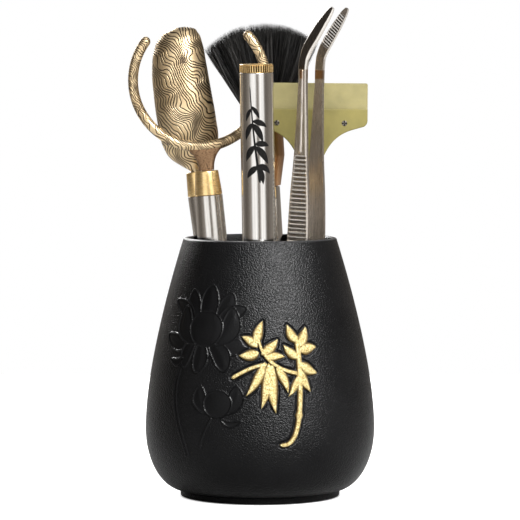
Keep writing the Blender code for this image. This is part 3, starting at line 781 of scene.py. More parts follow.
def build_handle(prefix, tool):
    """Steel handle, its end cap and the gold collar, turned from the CAD's own levels."""
    cap_low, _ = levels(prefix + "_end_cap", tool)
    foot, top = levels(prefix + "_handle", tool)
    foot_radius, waist, top_radius = (reach(prefix + "_handle", tool, share) for share in (0.0, 0.55, 1.0))
    foot_bore, waist_bore, top_bore = (radius - HANDLE_WALL for radius in (foot_radius, waist, top_radius))
    profile = rounded([(top_bore, top - 5), (top_bore, top), (top_radius, top)], 0.2)[:-1]
    profile += smooth_outline([(top_radius, top), (waist, top - 19), (waist, top - 54),
                               (foot_radius, foot)])
    profile += [(foot_bore, foot), (waist_bore, top - 54), (waist_bore, top - 19)]
    Shape().add_turned(profile).finish(prefix + "_handle_tube", handle_steel, prefix, tool,
                                       prefix + "_handle", "steel")

    edge = foot - 0.3
    plug = foot_bore - 0.3
    profile = [(0, edge + 7.5), (plug, edge + 7.5), (plug, edge), (foot_radius, edge),
               (foot_radius, cap_low + 0.02), (foot_radius * 0.6, cap_low), (0, cap_low)]
    Shape().add_turned(rounded(profile, 0.35)).finish(prefix + "_butt", handle_steel, prefix, tool,
                                                      prefix + "_end_cap", "steel")

    _, collar_top = levels(prefix + "_collar", tool)
    neck = reach(prefix + "_collar", tool, 1.0)
    seat = top + 0.25
    spigot = top_bore - 0.2
    profile = [(0, collar_top - SOCKET_DEPTH), (2.4, collar_top - SOCKET_DEPTH), (2.4, collar_top),
               (neck, collar_top), (neck + (top_radius - neck) * 0.1, collar_top - 0.8), (top_radius, seat),
               (spigot, seat), (spigot, top - 7.5), (0, top - 7.5)]
    Shape().add_turned(rounded(profile, 0.25)).finish(prefix + "_gold_collar", gold_plate, prefix, tool,
                                                      prefix + "_collar", "gold")
    return collar_top


def smooth_outline(points):
    """A gently curved outer line through the handle's few levels."""
    heights = np.linspace(points[0][1], points[-1][1], 24)
    table = [(level, radius) for radius, level in reversed(points)]
    radii = smooth_rows(table, heights)[:, 0]
    return [(float(radius), float(level)) for radius, level in zip(radii, heights)]


def add_tang(shape, collar_top, rise):
    """The round shank below a tool's head, which sits in the collar."""
    low, high = collar_top - TANG_DEPTH, collar_top + rise
    shape.add_turned([(0, high), (TANG_RADIUS, high), (TANG_RADIUS, low), (0, low)], 48)


# ------------ tea scoop


def build_scoop():
    tool = tool_frame("scoop_lift", "scoop_handle", "scoop_end_cap")
    collar_top = build_handle("scoop", tool)
    low, top = collar_top + 0.6, levels("scoop_bowl", tool)[1]
    stations = [
        # height, half width, depth of the channel, Y of its rim, shift of its middle in X
        (low, 2.3, 3.6, 1.6, 0.0),
        (low + 2.6, 5.6, 5.6, 3.0, 0.0),
        (low + 6.2, 9.6, 8.2, 4.2, -0.1),
        (low + 12.0, 12.1, 10.0, 5.0, -0.3),
        (low + 21.0, 12.75, 10.7, 5.0, -0.45),
        (top - 28.0, 12.55, 10.7, 5.0, -0.45),
        (top - 16.2, 11.9, 10.2, 5.0, 0.0),
        (top - 8.4, 10.7, 9.2, 5.0, 0.9),
        (top - 3.4, 8.6, 7.4, 5.0, 1.8),
        (top - 1.0, 5.9, 5.2, 4.8, 2.4),
        (top - 0.1, 2.8, 3.2, 4.2, 2.8),
    ]
    places = np.concatenate([np.linspace(low, low + 12, 26)[:-1], np.linspace(low + 12, top - 16, 40)[:-1],
                             top - 0.1 - 15.9 * np.linspace(1, 0, 40) ** 1.8])
    wall = 1.1
    angles = np.linspace(0, math.pi, 49)
    rings = []
    for place, (half, depth, rim, shift) in zip(places, smooth_rows(stations, places)):
        ring = [(shift - half * math.cos(a), rim - depth * math.sin(a), place) for a in angles]
        half, depth, rim = half - wall, depth - wall, rim + 0.05
        ring += [(shift - half * math.cos(a), rim - depth * math.sin(a), place) for a in angles[::-1]]
        rings.append(ring)
    foot = collar_top - TANG_DEPTH
    tang = [(0, low + 7.0), (1.2, low + 6.6), (TANG_RADIUS, low + 4.5), (TANG_RADIUS, foot), (0, foot)]
    bowl = Shape().add_rings(rings).add_turned(tang, 48)
    bowl.finish("scoop_channel", scoop_bronze, "scoop", tool, "scoop_bowl", "bronze", crease=50)


# ------------ cup fork


def build_fork():
    tool = tool_frame("cup_fork_lift", "cup_fork_handle", "cup_fork_end_cap")
    collar_top = build_handle("cup_fork", tool)
    hoop_radius = 28.5
    hoop_height = collar_top + 39.0
    left_opening = math.radians(45.2)
    right_opening = math.radians(47.8)
    half_width = 2.15
    half_thickness = 1.9
    start = math.pi / 2 + left_opening
    sweep = TURN - left_opening - right_opening
    tip = 2.2 / hoop_radius
    ends = np.linspace(0.05, math.pi / 2, 10)
    along = [(start + tip * (1 - math.cos(a)), math.sin(a)) for a in ends]
    along += [(start + tip + (sweep - 2 * tip) * t, 1.0) for t in np.linspace(0, 1, 190)]
    along += [(start + sweep - tip * (1 - math.cos(a)), math.sin(a)) for a in ends[::-1]]
    section = around(24)
    rings = []
    for angle, size in along:
        swell = size * (1 + 0.10 * math.exp(-((angle - 1.5 * math.pi) / 0.35) ** 2))
        radius = hoop_radius + swell * half_width * np.cos(section)
        rings.append(points_at(radius * math.cos(angle), swell * half_thickness * np.sin(section),
                               hoop_height + radius * math.sin(angle)))
    Shape().add_rings(rings).finish("cup_fork_hoop", ring_bronze, "cup_fork", tool, "cup_fork_ring",
                                    "bronze", crease=50)
    build_fork_neck(tool, collar_top)


def build_fork_neck(tool, collar_top):
    """Flat flared neck between the hoop and the collar, with a round tang below."""
    stations = [
        # height, half width, half thickness
        (collar_top + 0.3, 3.2, 2.3), (collar_top + 3.6, 3.7, 2.1), (collar_top + 6.6, 4.9, 1.95),
        (collar_top + 9.0, 6.8, 1.8), (collar_top + 11.2, 9.4, 1.5),
    ]
    places = np.linspace(stations[0][0], stations[-1][0], 30)
    wedge = Shape().add_rings(square_rings(places, smooth_rows(stations, places), 40, 0.5))
    add_tang(wedge, collar_top, 3.0)
    wedge.finish("cup_fork_neck", neck_bronze, "cup_fork", tool, crease=40)


# ------------ tea needle case


def build_needle_case():
    tool = tool_frame("needle_case_lift", "needle_case_tube", "needle_case_base_plug")
    low, top = levels("needle_case_tube", tool)
    radius = reach("needle_case_tube", tool)
    bore = radius - 0.9
    plug = bore - 0.2
    Shape().add_turned(tube_profile(radius, bore, low, top, 0.25)).finish(
        "needle_case_shell", case_steel, "needle_case", tool, "needle_case_tube", "steel")

    insert_low, insert_top = levels("needle_case_insert", tool)
    turns = 12
    pitch = (insert_top - insert_low) / turns
    threads = [(plug, insert_top), (plug, insert_low)]
    for i in range(turns):
        level = insert_low + (insert_top - insert_low) * i / turns
        threads += [(4.9, level + pitch * 0.05), (4.6, level + pitch * 0.5)]
    Shape().add_turned(threads).finish("needle_case_mouth", gold_plate, "needle_case", tool,
                                       "needle_case_insert", "gold")

    plug_low, plug_top = levels("needle_case_base_plug", tool)
    base = [(0, plug_top), (plug, plug_top), (plug, low - 0.3), (radius, low - 0.3), (radius, plug_low),
            (radius * 0.7, plug_low), (radius * 0.66, plug_low + 0.3), (0, plug_low + 0.3)]
    Shape().add_turned(rounded(base, 0.3)).finish("needle_case_base", case_steel, "needle_case", tool,
                                                  "needle_case_base_plug", "steel")

    ring_low, ring_top = levels("needle_o_ring", tool)
    middle = (ring_low + ring_top) / 2
    thick = (ring_top - ring_low) / 2
    seal = [(5.5 + 0.85 * math.cos(a), middle + thick * math.sin(a)) for a in around(16)]
    Shape().add_turned(seal).finish("needle_seal_ring", seal_rubber, "needle_seal", tool,
                                    "needle_o_ring", "seal")

    build_knurled_cap(tool, radius, top + 0.15)
    build_plug_and_needle(tool)
    build_ink(tool, radius, top)


def build_knurled_cap(tool, radius, skirt):
    """Brass cap with straight knurls under a thin bead, with painted shade in the knurls' grooves. Its skirt
    hides the seal.
    """
    low, high = levels("needle_case_cap", tool)
    knurls = 42
    angles = around(knurls * 10)
    ridge = step(0.2, 0.8, 0.5 + 0.5 * np.cos(angles * knurls))
    rows = [
        # radius, height, knurl depth
        (3.2, low, 0.0), (radius - 0.75, low, 0.0), (radius - 0.75, skirt, 0.0), (radius - 0.2, skirt, 0.0),
        (radius - 0.12, skirt + 0.1, 0.0), (radius - 0.02, skirt + 0.18, 0.42), (radius, high - 0.62, 0.42),
        (radius - 0.3, high - 0.52, 0.0), (radius - 0.12, high - 0.42, 0.0), (radius - 0.1, high - 0.2, 0.0),
        (radius - 0.3, high, 0.0), (radius * 0.6, high, 0.0), (radius * 0.55, high - 0.15, 0.0),
        (0.3, high - 0.15, 0.0),
    ]
    rings = []
    dark = []
    for ring_radius, level, depth in rows:
        r = ring_radius - depth * (1 - ridge)
        rings.append(points_at(r * np.cos(angles), r * np.sin(angles), level))
        # Painted shade in each knurl's groove.
        dark.append((1 - ridge) * (depth > 0))
    cap = Shape().add_rings(rings, marks={"dark": dark})
    cap.finish("needle_knurled_cap", gold_plate, "needle", tool, "needle_case_cap", "gold", crease=30)


def build_plug_and_needle(tool):
    plug_low, plug_top = levels("needle_plug", tool)
    turns = 10
    pitch = (plug_top - 2.6 - plug_low - 0.6) / turns
    profile = [(0, plug_top - 1.9), (2.9, plug_top - 1.9), (4.2, plug_top - 2.2)]
    for i in range(turns):
        level = plug_top - 2.6 - i * pitch
        profile += [(4.3, level), (4.05, level - pitch * 0.5)]
    profile += [(3.9, plug_low), (1.3, plug_low), (1.25, plug_low + 2.0), (0, plug_low + 2.0)]
    Shape().add_turned(profile, 72).finish("needle_threaded_plug", gold_plate, "needle", tool,
                                           "needle_plug", "gold", crease=20)

    tip, _ = levels("tea_needle", tool)
    profile = [(0, plug_low + 1.8), (1.1, plug_low + 1.8), (1.1, plug_low - 1.0), (1.6, plug_low - 3.0),
               (1.6, tip + 30.0), (1.25, tip + 18.0), (0.7, tip + 7.0), (0.25, tip + 1.0), (0, tip)]
    Shape().add_turned(profile, 48).finish("needle_spike", handle_steel, "needle", tool,
                                           "tea_needle", "steel")


def build_ink(tool, radius, top):
    """Bamboo painted on the case in black ink: a thin leaning stalk with bold drooping leaves."""

    def surface(u, v, height):
        angle = u / radius
        return ((radius + height) * math.sin(angle), -(radius + height) * math.cos(angle), v)

    root = top - 46.0
    leaves = [
        # base, tip, half width, bend
        ((-2.5, 32.0), (1.0, 26.6), 0.90, 0.14), ((-2.5, 31.0), (-5.0, 25.6), 0.85, -0.12),
        ((-2.0, 25.6), (4.2, 23.0), 1.25, 0.20), ((-1.9, 24.6), (2.4, 16.6), 1.35, 0.12),
        ((-2.1, 24.8), (-5.2, 17.6), 1.20, -0.14), ((-1.0, 15.8), (5.2, 15.0), 1.30, 0.20),
        ((-0.9, 15.0), (4.6, 7.2), 1.45, 0.14), ((-1.1, 15.2), (-5.2, 8.6), 1.35, -0.16),
        ((0.2, 7.0), (5.6, 3.2), 1.30, 0.20), ((0.1, 6.4), (-4.8, 1.4), 1.35, -0.18),
        ((0.3, 6.2), (2.2, -1.2), 1.20, 0.12),
    ]
    strokes = [leaf((bu, root + bv), (tu, root + tv), width, bend, 24, 0.8)
               for (bu, bv), (tu, tv), width, bend in leaves]
    trunk = [(0.9, root - 0.5), (-0.9, root + 12.0), (-2.2, root + 24.0), (-2.9, root + 40.5)]
    strokes.append(stalk(trunk, 0.62, 0.20, 70, (0.18, 0.40, 0.62)))
    paint = Shape()
    for path, widths in strokes:
        paint.add_rings(stroke_rings(surface, path, widths, 0.07, 0.05, 8))
    paint.finish("needle_case_ink", ink, "needle_case", tool, crease=60)


# ------------ brush


def build_brush():
    tool = tool_frame("brush_lift", "brush_handle", "brush_end_cap")
    low, top = levels("brush_handle", tool)
    radius = reach("brush_handle", tool)
    bore = radius - HANDLE_WALL
    plug = bore - 0.2
    Shape().add_turned(tube_profile(radius, bore, low, top, 0.2)).finish(
        "brush_handle_tube", handle_steel, "brush", tool, "brush_handle", "steel")

    cap_low, cap_top = levels("brush_end_cap", tool)
    butt = [(0, cap_top), (plug, cap_top), (plug, low - 0.3), (radius, low - 0.3), (radius, cap_low),
            (radius * 0.6, cap_low), (0, cap_low)]
    Shape().add_turned(rounded(butt, 0.4)).finish("brush_butt", handle_steel, "brush", tool,
                                                  "brush_end_cap", "steel")

    foot, mouth = levels("brush_ferrule", tool)
    wide = reach("brush_ferrule", tool)
    seat = top + 0.3
    profile = [(0, mouth - 9.5), (6.5, mouth - 9.5), (6.7, mouth), (wide - 0.25, mouth), (wide, mouth - 0.5),
               (wide, mouth - 2.2), (wide - 0.25, mouth - 2.5), (wide, mouth - 2.8), (wide, mouth - 14.5),
               (radius + 0.4, seat), (plug, seat), (plug, foot), (0, foot)]
    Shape().add_turned(rounded(profile, 0.5)).finish("brush_copper_ferrule", copper, "brush", tool,
                                                     "brush_ferrule", "copper")
    full = levels("brush_bristles", tool)[1] - mouth
    build_hairs(tool, mouth, full)
    build_hair_core(tool, mouth, full)


def build_hairs(tool, mouth, full):
    """A flat fan of separate tapered three-sided hairs, which lean together in locks."""
    hairs, per_lock, rows = 6400, 16, 9
    buried = 8.0  # length of a hair inside the ferrule
    root_half, root_thick = 6.0, 5.8
    tip_half, tip_thick = 25.0, 5.6
    draw = random.Random(SEED)
    corners = range(3)
    points = []
    faces = []
    paleness = []
    for index in range(hairs):
        if index % per_lock == 0:
            spread = math.sqrt(draw.random())
            turn = draw.random() * TURN
            lock = (spread * math.cos(turn), spread * math.sin(turn))
            lock_bow = (draw.gauss(0, 0.7), draw.gauss(0, 0.5))
            lock_pale = draw.random() ** 4
            square = draw.random() < 0.33
        a = max(-1.0, min(1.0, lock[0] + draw.gauss(0, 0.045)))
        b = max(-1.0, min(1.0, lock[1] + draw.gauss(0, 0.10)))
        if square:
            a = math.copysign(abs(a) ** 0.5, a)
        ragged = draw.random() ** 4
        rise_to = full * (1.035 - 0.235 * abs(a) ** 2.3) * (1 - 0.10 * ragged) * (1 - 0.08 * b * b)
        tip_x = tip_half * a * (1 - 0.05 * ragged) + draw.gauss(0, 0.3)
        tip_y = tip_thick * b * math.sqrt(max(0.05, 1 - 0.8 * a * a)) + draw.gauss(0, 0.25)
        bow = Vector((lock_bow[0] + draw.gauss(0, 0.3), lock_bow[1] + draw.gauss(0, 0.2), 0))
        thick = 0.10 + 0.03 * draw.random()
        twist = draw.random() * TURN
        paleness += [lock_pale * draw.random()] * (3 * rows - 2)
        first = len(points)
        for row in range(rows):
            t = row / (rows - 1)
            height = t * (rise_to + buried) - buried
            rise = max(0.0, height / rise_to)
            lean = rise ** 1.12
            x = root_half * a * (1 - (rise + lean) / 2) + tip_x * lean
            y = root_thick * b * (1 - rise) + tip_y * rise
            centre = Vector((x, y, mouth + height)) + bow * math.sin(math.pi * rise)
            if row == rows - 1:
                points.append(centre)
                continue
            size = thick * (1 - 0.3 * t)
            for corner in corners:
                angle = twist + TURN * corner / 3
                points.append(centre + Vector((math.cos(angle), math.sin(angle), 0)) * size)
        last = first + 3 * (rows - 2)
        for low in range(first, last, 3):
            faces += [(low + i, low + (i + 1) % 3, low + (i + 1) % 3 + 3, low + i + 3) for i in corners]
        faces.append((first + 2, first + 1, first))
        faces += [(last + i, last + (i + 1) % 3, last + 3) for i in corners]
    tuft = Shape()
    tuft.add_points([tuple(point) for point in points], {"pale": paleness})
    tuft.faces = faces
    tuft.finish("brush_hairs", hair, "brush", tool, "brush_bristles", "hair", crease=80)


def build_hair_core(tool, mouth, full):
    """A ribbed dark core, so that the tuft isn't seen through."""
    stations = [
        # share of the height, half width, half thickness
        (0.0, 6.2, 6.0), (0.25, 10.2, 4.8), (0.5, 15.0, 4.2), (0.70, 19.4, 3.2), (0.82, 18.0, 2.2),
        (0.91, 10.0, 0.8),
    ]
    angles = around(60)
    ripple = 1 + 0.05 * (np.arange(60) % 2)
    shares = np.linspace(0, 0.91, 26)
    rings = []
    for share, (half, thick) in zip(shares, smooth_rows(stations, shares)):
        level = mouth - 8.0 * (1 - min(1, share * 8)) + full * share
        rings.append(points_at(half * ripple * np.cos(angles), thick * ripple * np.sin(angles), level))
    Shape().add_rings(rings).finish("brush_hair_core", hair_core, "brush", tool, crease=80)


# ------------ scraper


def flat_shape(outline, depth, thickness, edge):
    """A plate in X-Z with eased edges. outline runs round it once. Inner rings keep its faces flat."""
    outline = np.array(outline, float)
    after = np.roll(outline, -1, axis=0)
    tangent = after - np.roll(outline, 1, axis=0)
    tangent /= np.maximum(np.linalg.norm(tangent, axis=1), 1e-9)[:, None]
    area = np.sum(outline[:, 0] * after[:, 1] - after[:, 0] * outline[:, 1])
    inward = np.stack([-tangent[:, 1], tangent[:, 0]], axis=1) * math.copysign(1.0, area)
    # inset and drop of each ring from the plate's face, from the middle of the face out to its rim
    easing = [(1.4 * edge, 0.0)]
    easing += [(edge * (1 - math.sin(a)), edge * (1 - math.cos(a))) for a in np.radians([0, 30, 60, 90])]
    rings = []
    for side, steps in ((-1, easing), (1, easing[::-1])):
        for inset, drop in steps:
            level = depth + side * (thickness / 2 - drop)
            rings.append([(x, level, z) for x, z in outline + inward * inset])
    return rings


def corner_arc(centre, radius, start, end, count):
    """An arc in X-Z, from one angle to another in degrees."""
    return [(centre[0] + radius * math.cos(angle), centre[1] + radius * math.sin(angle))
            for angle in np.linspace(math.radians(start), math.radians(end), count)]


def build_scraper():
    tool = tool_frame("scraper_lift", "scraper_handle", "scraper_end_cap")
    collar_top = build_handle("scraper", tool)
    _, head_top = levels("scraper_blade", tool)
    shell_low, shell_top = levels("scraper_holder_front", tool)
    half = 24.75
    blade_thickness, shell_thickness, gap = 1.8, 1.6, 0.1
    blade = [(x, head_top) for x in np.linspace(-half + 0.6, half - 0.6, 12)]
    blade += corner_arc((half - 0.8, head_top - 0.8), 0.8, 90, 0, 5) + [(half, shell_top + 0.3)]
    blade += [(half - 0.3, shell_top - 1.0), (half - 4.0, shell_top - 6.0), (-half + 4.0, shell_top - 6.0)]
    blade += [(-half + 0.3, shell_top - 1.0), (-half, shell_top + 0.3)]
    blade += corner_arc((-half + 0.8, head_top - 0.8), 0.8, 180, 90, 5)[:-1]
    Shape().add_rings(flat_shape(blade, 0.0, blade_thickness, 0.35)).finish(
        "scraper_soft_blade", blade_green, "scraper", tool, "scraper_blade", "green_rubber")

    shelf = shell_top - 8.0
    side = [(half, shell_top)] + corner_arc((half - 3.0, shelf + 3.0), 3.0, 0, -65, 9)
    flank = [(half - 5.5, shelf - 0.8), (half - 14.0, shelf - 3.0), (8.0, shelf - 8.0), (5.6, shell_low)]
    side += [tuple(point) for point in curve_points(flank, 16)]
    outline = side + [(-x, z) for x, z in reversed(side)]
    outline += [(x, shell_top) for x in np.linspace(-half, half, 14)[1:-1]]
    offset = (blade_thickness + shell_thickness) / 2 + gap
    for sign, label in ((-1, "front"), (1, "back")):
        Shape().add_rings(flat_shape(outline, sign * offset, shell_thickness, 0.4)).finish(
            "scraper_shell_" + label, shell_green, "scraper", tool, "scraper_holder_" + label,
            "green_plastic", crease=50)
    build_screws(tool, shell_top - 6.2, offset + shell_thickness / 2)
    build_stem(tool, collar_top, shell_low)


def build_screws(tool, level, face):
    """Two small flat screws in the front shell, of a dark tone, with painted shade in their cross slots."""
    angles = around(48)
    cross = np.abs(np.sin(2 * angles)) < 0.62
    # radius, distance out from the middle of the head
    rows = [(0.65, -face + 0.2), (0.65, face - 0.1), (1.10, face), (1.20, face + 0.10), (1.10, face + 0.22),
            (0.95, face + 0.26), (0.7, face + 0.28), (0.4, face + 0.28), (0.1, face + 0.28)]
    for x, label in ((-14.7, "1"), (14.7, "2")):
        rings = []
        dark = []
        for radius, out in rows:
            sunk = cross & (radius < 1.0) & (out > face)
            rings.append(points_at(x + radius * np.cos(angles), np.where(sunk, 0.25, 0.0) - out,
                                   level + radius * np.sin(angles)))
            # Painted shade in the slots; the rest of the head gets a dark tone.
            dark.append(np.where(sunk, 1.0, 0.62))
        Shape().add_rings(rings, marks={"dark": dark}).finish(
            "scraper_cross_screw_" + label, grip_steel, "scraper", tool, "scraper_screw_" + label,
            "steel", crease=30)


def build_stem(tool, collar_top, shell_low):
    """A thin tongue between the plates, which swells to a round boss at the collar."""
    boss, tongue = 4.2, 0.88
    stations = [
        # height, half width, half thickness
        (collar_top + 0.3, 4.6, boss), (collar_top + 3.0, 4.6, 3.7), (shell_low - 1.0, 4.5, 3.0),
        (shell_low - 0.3, 4.3, 1.6), (shell_low + 0.2, 4.2, 0.9), (shell_low + 14.0, 4.2, tongue),
    ]
    places = np.linspace(stations[0][0], stations[-1][0], 60)
    rows = smooth_rows(stations, places)
    rows[:, 1] = np.where(places < shell_low, np.minimum(rows[:, 1], boss), tongue)
    stem = Shape().add_rings(square_rings(places, rows, 32, 0.6))
    add_tang(stem, collar_top, 2.0)
    stem.finish("scraper_gold_stem", gold_plate, "scraper", tool, "scraper_stem", "gold")


# ------------ tweezers


def build_tweezers():
    """Arms in the hinge's frame: X is the way they open, Z runs up from the hinge."""
    tool = tweezers_frame()
    stations = [
        # height over the hinge, inner face's distance from the middle, half width, thickness, bend to -Y
        (-14.0, 0.8, 4.5, 1.4, 0.0), (0.0, 0.8, 4.7, 1.4, 0.0), (16.0, 1.9, 5.2, 1.5, 0.0),
        (41.0, 3.7, 5.8, 1.6, 0.0), (66.0, 4.6, 6.0, 1.6, 0.0), (91.0, 4.9, 5.7, 1.6, 0.0),
        (109.0, 4.8, 5.0, 1.6, 0.0), (126.0, 4.7, 3.7, 1.6, 0.0), (146.0, 4.8, 2.6, 1.7, 0.0),
        (158.0, 4.9, 2.1, 1.8, 0.0), (166.0, 4.9, 2.1, 1.9, 0.0), (169.0, 4.8, 2.1, 1.9, 0.4),
        (172.3, 4.8, 2.3, 1.9, 1.7), (178.0, 4.7, 2.4, 1.8, 5.4), (184.5, 4.6, 2.0, 1.7, 10.0),
        (189.0, 4.5, 1.3, 1.4, 13.3), (190.5, 4.5, 0.7, 1.1, 14.4),
    ]
    places = np.concatenate([np.linspace(-14, 44, 60)[:-1], np.arange(44, 128, 0.2),
                             np.linspace(128, 160, 70)[:-1], np.linspace(160, 190.5, 230)])
    rows = smooth_rows(stations, places)
    slopes = np.arctan(np.gradient(rows[:, 3], places))
    half_across = [0.1, 0.2, 0.3, 0.42, 0.55, 0.7, 0.8, 0.9, 0.97, 1]
    across = np.array([-share for share in reversed(half_across)] + [0] + half_across)
    back = np.array([1, 0.94, 0.86, 0.5, 0.0, -0.5, -0.86, -0.94, -1])
    on_face = np.abs(back) < 0.9
    for side, label in ((-1, "left"), (1, "right")):
        rings = []
        marks = {"dark": [], "warm": [], "pale": []}
        for place, (inner, half, thick, bend), slope in zip(places, rows, slopes):
            cut, land = ribs(place, across)
            ridge = ridge_height(place, across * half)
            ease = 0.45 * np.clip((np.abs(across) - 0.8) / 0.2, 0, 1) ** 2
            out = inner + thick - 0.42 * cut + 0.55 * ridge - ease
            groove, tooth = teeth(place)
            x = np.concatenate([out, inner + 0.30 * groove * on_face])
            w = np.concatenate([across, back]) * half
            rings.append(points_at(side * x, w * math.cos(slope) - bend, place + w * math.sin(slope)))
            bent = step(163.6, 164.4, place)
            tip_face = bent * (np.abs(across) < 0.80)
            tip_edge = bent * (np.abs(across) > 0.86)
            copper_zone = between((159.6, 160.4), (163.6, 164.2), place)
            inner_shade = 0.5 * between((163.8, 164.6), (173.5, 174.5), place)
            # Painted shade in the rib and tooth grooves and inside the bend (dark), and painted highlights
            # on the rib lands and the teeth (pale). The bent tip's face is darkened and its edges paled.
            for key, outer_marks, inner_marks in (
                ("dark", np.maximum(0.6 * cut, 0.85 * tip_face), max(0.85 * groove, inner_shade) * on_face),
                ("warm", copper_zone * (ridge > 0.3), np.full(len(back), copper_zone)),
                ("pale", np.maximum(0.75 * land, 0.7 * tip_edge), tooth * on_face),
            ):
                marks[key].append(np.concatenate([outer_marks, inner_marks]))
        Shape().add_rings(rings, marks=marks).finish(
            "tweezers_blade_" + label, grip_steel, "tweezers_" + label, tool, "tweezers_arm_" + label,
            "tweezer_steel", crease=28)
    rings = []
    for level, inset in ((-13.9, 0.3), (-13.7, 0.05), (-13.4, 0.0), (-0.9, 0.0), (-0.6, 0.05), (-0.4, 0.3)):
        half, thick = 4.4 - inset, 0.7 - inset * 0.5
        corner = [(thick, half - 0.2), (thick - 0.2, half)]
        ring = [(-x, -y) for x, y in corner] + [(x, -y) for x, y in reversed(corner)]
        ring += corner + [(-x, y) for x, y in reversed(corner)]
        rings.append([(x, y, level) for x, y in ring])
    Shape().add_rings(rings).finish("tweezers_spacer", grip_steel, "tweezers", tool, "tweezers_end_block",
                                    "tweezer_steel")


def ribs(place, across):
    """(groove, land) across the grip, each 0 to 1. The grooves stop short of the edges."""
    pitch = 1.84
    from_land = abs((place / pitch) % 1 - 0.5) * pitch
    groove = 1 - step(0.50, 0.72, from_land)
    zone = between((45, 47), (127.0, 127.3), place)
    reach_across = 1 - step(0.72, 0.86, np.abs(across))
    return groove * zone * reach_across, (1 - groove) * zone * reach_across


def ridge_height(place, side):
    """A raised rib down the middle of the slim part, rounded off below the bend."""
    top = 163.8
    past = max(0.0, (place - top + 1.2) / 1.2)
    ends = step(127.5, 130, place) * math.sqrt(max(0.0, 1 - past**2))
    return ends * (1 - step(0.55, 0.95, np.abs(side)))


def teeth(place):
    """(groove, tooth) across the inner face of the bent tip, each 0 to 1."""
    pitch = 1.02
    zone = between((174.0, 174.4), (187.6, 188.0), place)
    groove = step(0.25, 0.55, abs((place / pitch) % 1 - 0.5) * 2)
    return zone * groove, zone * (1 - groove)


# ------------ stage


# Tall light and dark panels round the object: (degrees from the camera's side, brightness)
PANELS = (
    (-180, 0.20), (-130, 0.20), (-100, 0.08), (-76, 0.09), (-56, 0.19), (-46, 0.24), (-42, 0.80),
    (-8, 0.88), (-2, 0.16), (9, 0.12), (15, 0.40), (20, 0.90), (46, 0.82), (52, 0.16), (62, 0.08),
    (96, 0.15), (128, 0.16), (180, 0.20),
)
PANEL_GAIN = 1.6
# name, place, height of the target, width and height in metres, watts
SOFT_LIGHTS = (
    ("key_light", (0.34, -0.72, 0.72), 0.09, (0.60, 0.45), 17.0),
    ("back_fill", (-0.35, 0.85, 0.60), 0.12, (0.60, 0.45), 9.0),
)
GLAZE_LIGHTS = (
    ("glaze_light", (0.42, -0.77, 0.66), 0.07, (0.20, 0.50), 68.0),
    ("glaze_back_light", (-0.40, 0.75, 0.60), 0.07, (0.20, 0.50), 10.0),
)


def build_stage():
    """A pale floor, a white background, tall studio panels for the metal, soft lights and the camera."""
    scene = bpy.context.scene
    floor_mesh = bpy.data.meshes.new("floor")
    size = 0.55
    level = -0.0002
    corners = [(-size, -size, level), (size, -size, level), (size, size, level), (-size, size, level)]
    floor_mesh.from_pydata(corners, [], [(0, 1, 2, 3)])
    floor_mesh.materials.append(floor_material())
    floor = bpy.data.objects.new("floor", floor_mesh)
    scene.collection.objects.link(floor)

    build_world()
    for values in SOFT_LIGHTS:
        add_light(*values)
    glazed = bpy.data.collections.new("glazed_pieces")
    glazed.objects.link(bpy.data.objects["pot_glazed_body"])
    for values in GLAZE_LIGHTS:
        add_light(*values).light_linking.receiver_collection = glazed

    camera_data = bpy.data.cameras.new("camera")
    camera_data.sensor_width = 36.0
    camera_data.lens = 224.0
    camera = bpy.data.objects.new("camera", camera_data)
    aim(camera, (0.0, -1.4, 0.185), 0.1022)
    scene.collection.objects.link(camera)
    scene.camera = camera


def aim(obj, place, target_height):
    """Put a light or camera somewhere, facing a point on the pot's axis."""
    obj.location = place
    target = Vector((0.0, 0.0, target_height))
    obj.rotation_euler = (target - Vector(place)).to_track_quat("-Z", "Y").to_euler()


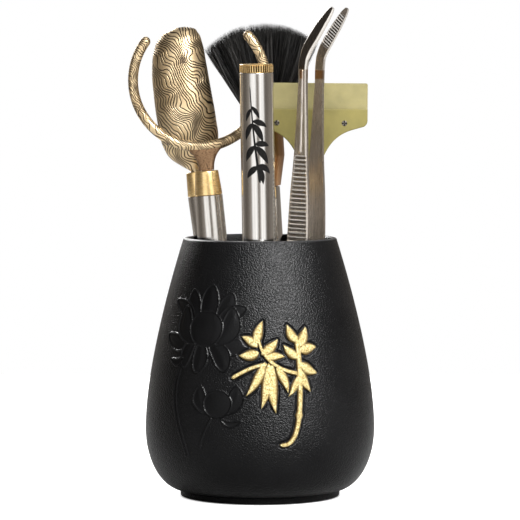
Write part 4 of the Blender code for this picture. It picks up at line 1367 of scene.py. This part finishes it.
def floor_material():
    """White paper to the camera, with a thin contact shadow. Reflections see it as dim grey."""
    material, tree, shader = start_material("pale_floor", 0.0)
    seen = add_node(tree, "ShaderNodeLightPath").outputs["Is Camera Ray"]
    near = add_node(tree, "ShaderNodeAmbientOcclusion", {"samples": 8}, Distance=0.003).outputs["AO"]
    feed(tree, shader, Base_Color=(0.70, 0.70, 0.70), Roughness=0.9, Emission_Strength=seen,
         Emission_Color=ramp(tree, near, [(0.25, 0.30), (0.60, 1.0)]))
    return material


def warm_if_dark(level):
    """The dark panels are a warm grey."""
    warmth = max(0.0, 1 - level / 0.6) * 0.16
    return (level * (1 + warmth), level, level * (1 - warmth))


def build_world():
    """White behind the object for the camera. Reflections see the panels."""
    world = bpy.data.worlds.new("studio")
    bpy.context.scene.world = world
    world.use_nodes = True
    tree = world.node_tree
    direction = add_node(tree, "ShaderNodeTexCoord").outputs["Generated"]
    parts = add_node(tree, "ShaderNodeSeparateXYZ", Vector=direction)
    front = maths(tree, "MULTIPLY", parts.outputs["Y"], -1.0)
    turn = maths(tree, "ARCTAN2", parts.outputs["X"], front)
    share = scaled(tree, turn, 0.5 / math.pi, 0.5)
    panels = ramp(tree, share, [(0.5 + degrees / 360, warm_if_dark(level)) for degrees, level in PANELS])
    overhead = ramp(tree, parts.outputs["Z"], [(0.45, 0.0), (0.80, 1.0)])
    studio = mix(tree, overhead, panels, (0.20, 0.20, 0.20))
    seen = add_node(tree, "ShaderNodeLightPath").outputs["Is Camera Ray"]
    feed(tree, tree.nodes["Background"], Color=mix(tree, seen, studio, (1.0, 1.0, 1.0)),
         Strength=scaled(tree, seen, 1.0 - PANEL_GAIN, PANEL_GAIN))


def add_light(name, place, target_height, size, power):
    data = bpy.data.lights.new(name, "AREA")
    data.shape = "RECTANGLE"
    data.size, data.size_y = size
    data.energy = power
    light = bpy.data.objects.new(name, data)
    aim(light, place, target_height)
    bpy.context.scene.collection.objects.link(light)
    return light


build_pot()
build_scoop()
build_fork()
build_needle_case()
build_brush()
build_scraper()
build_tweezers()
build_stage()

bpy.context.view_layer.update()
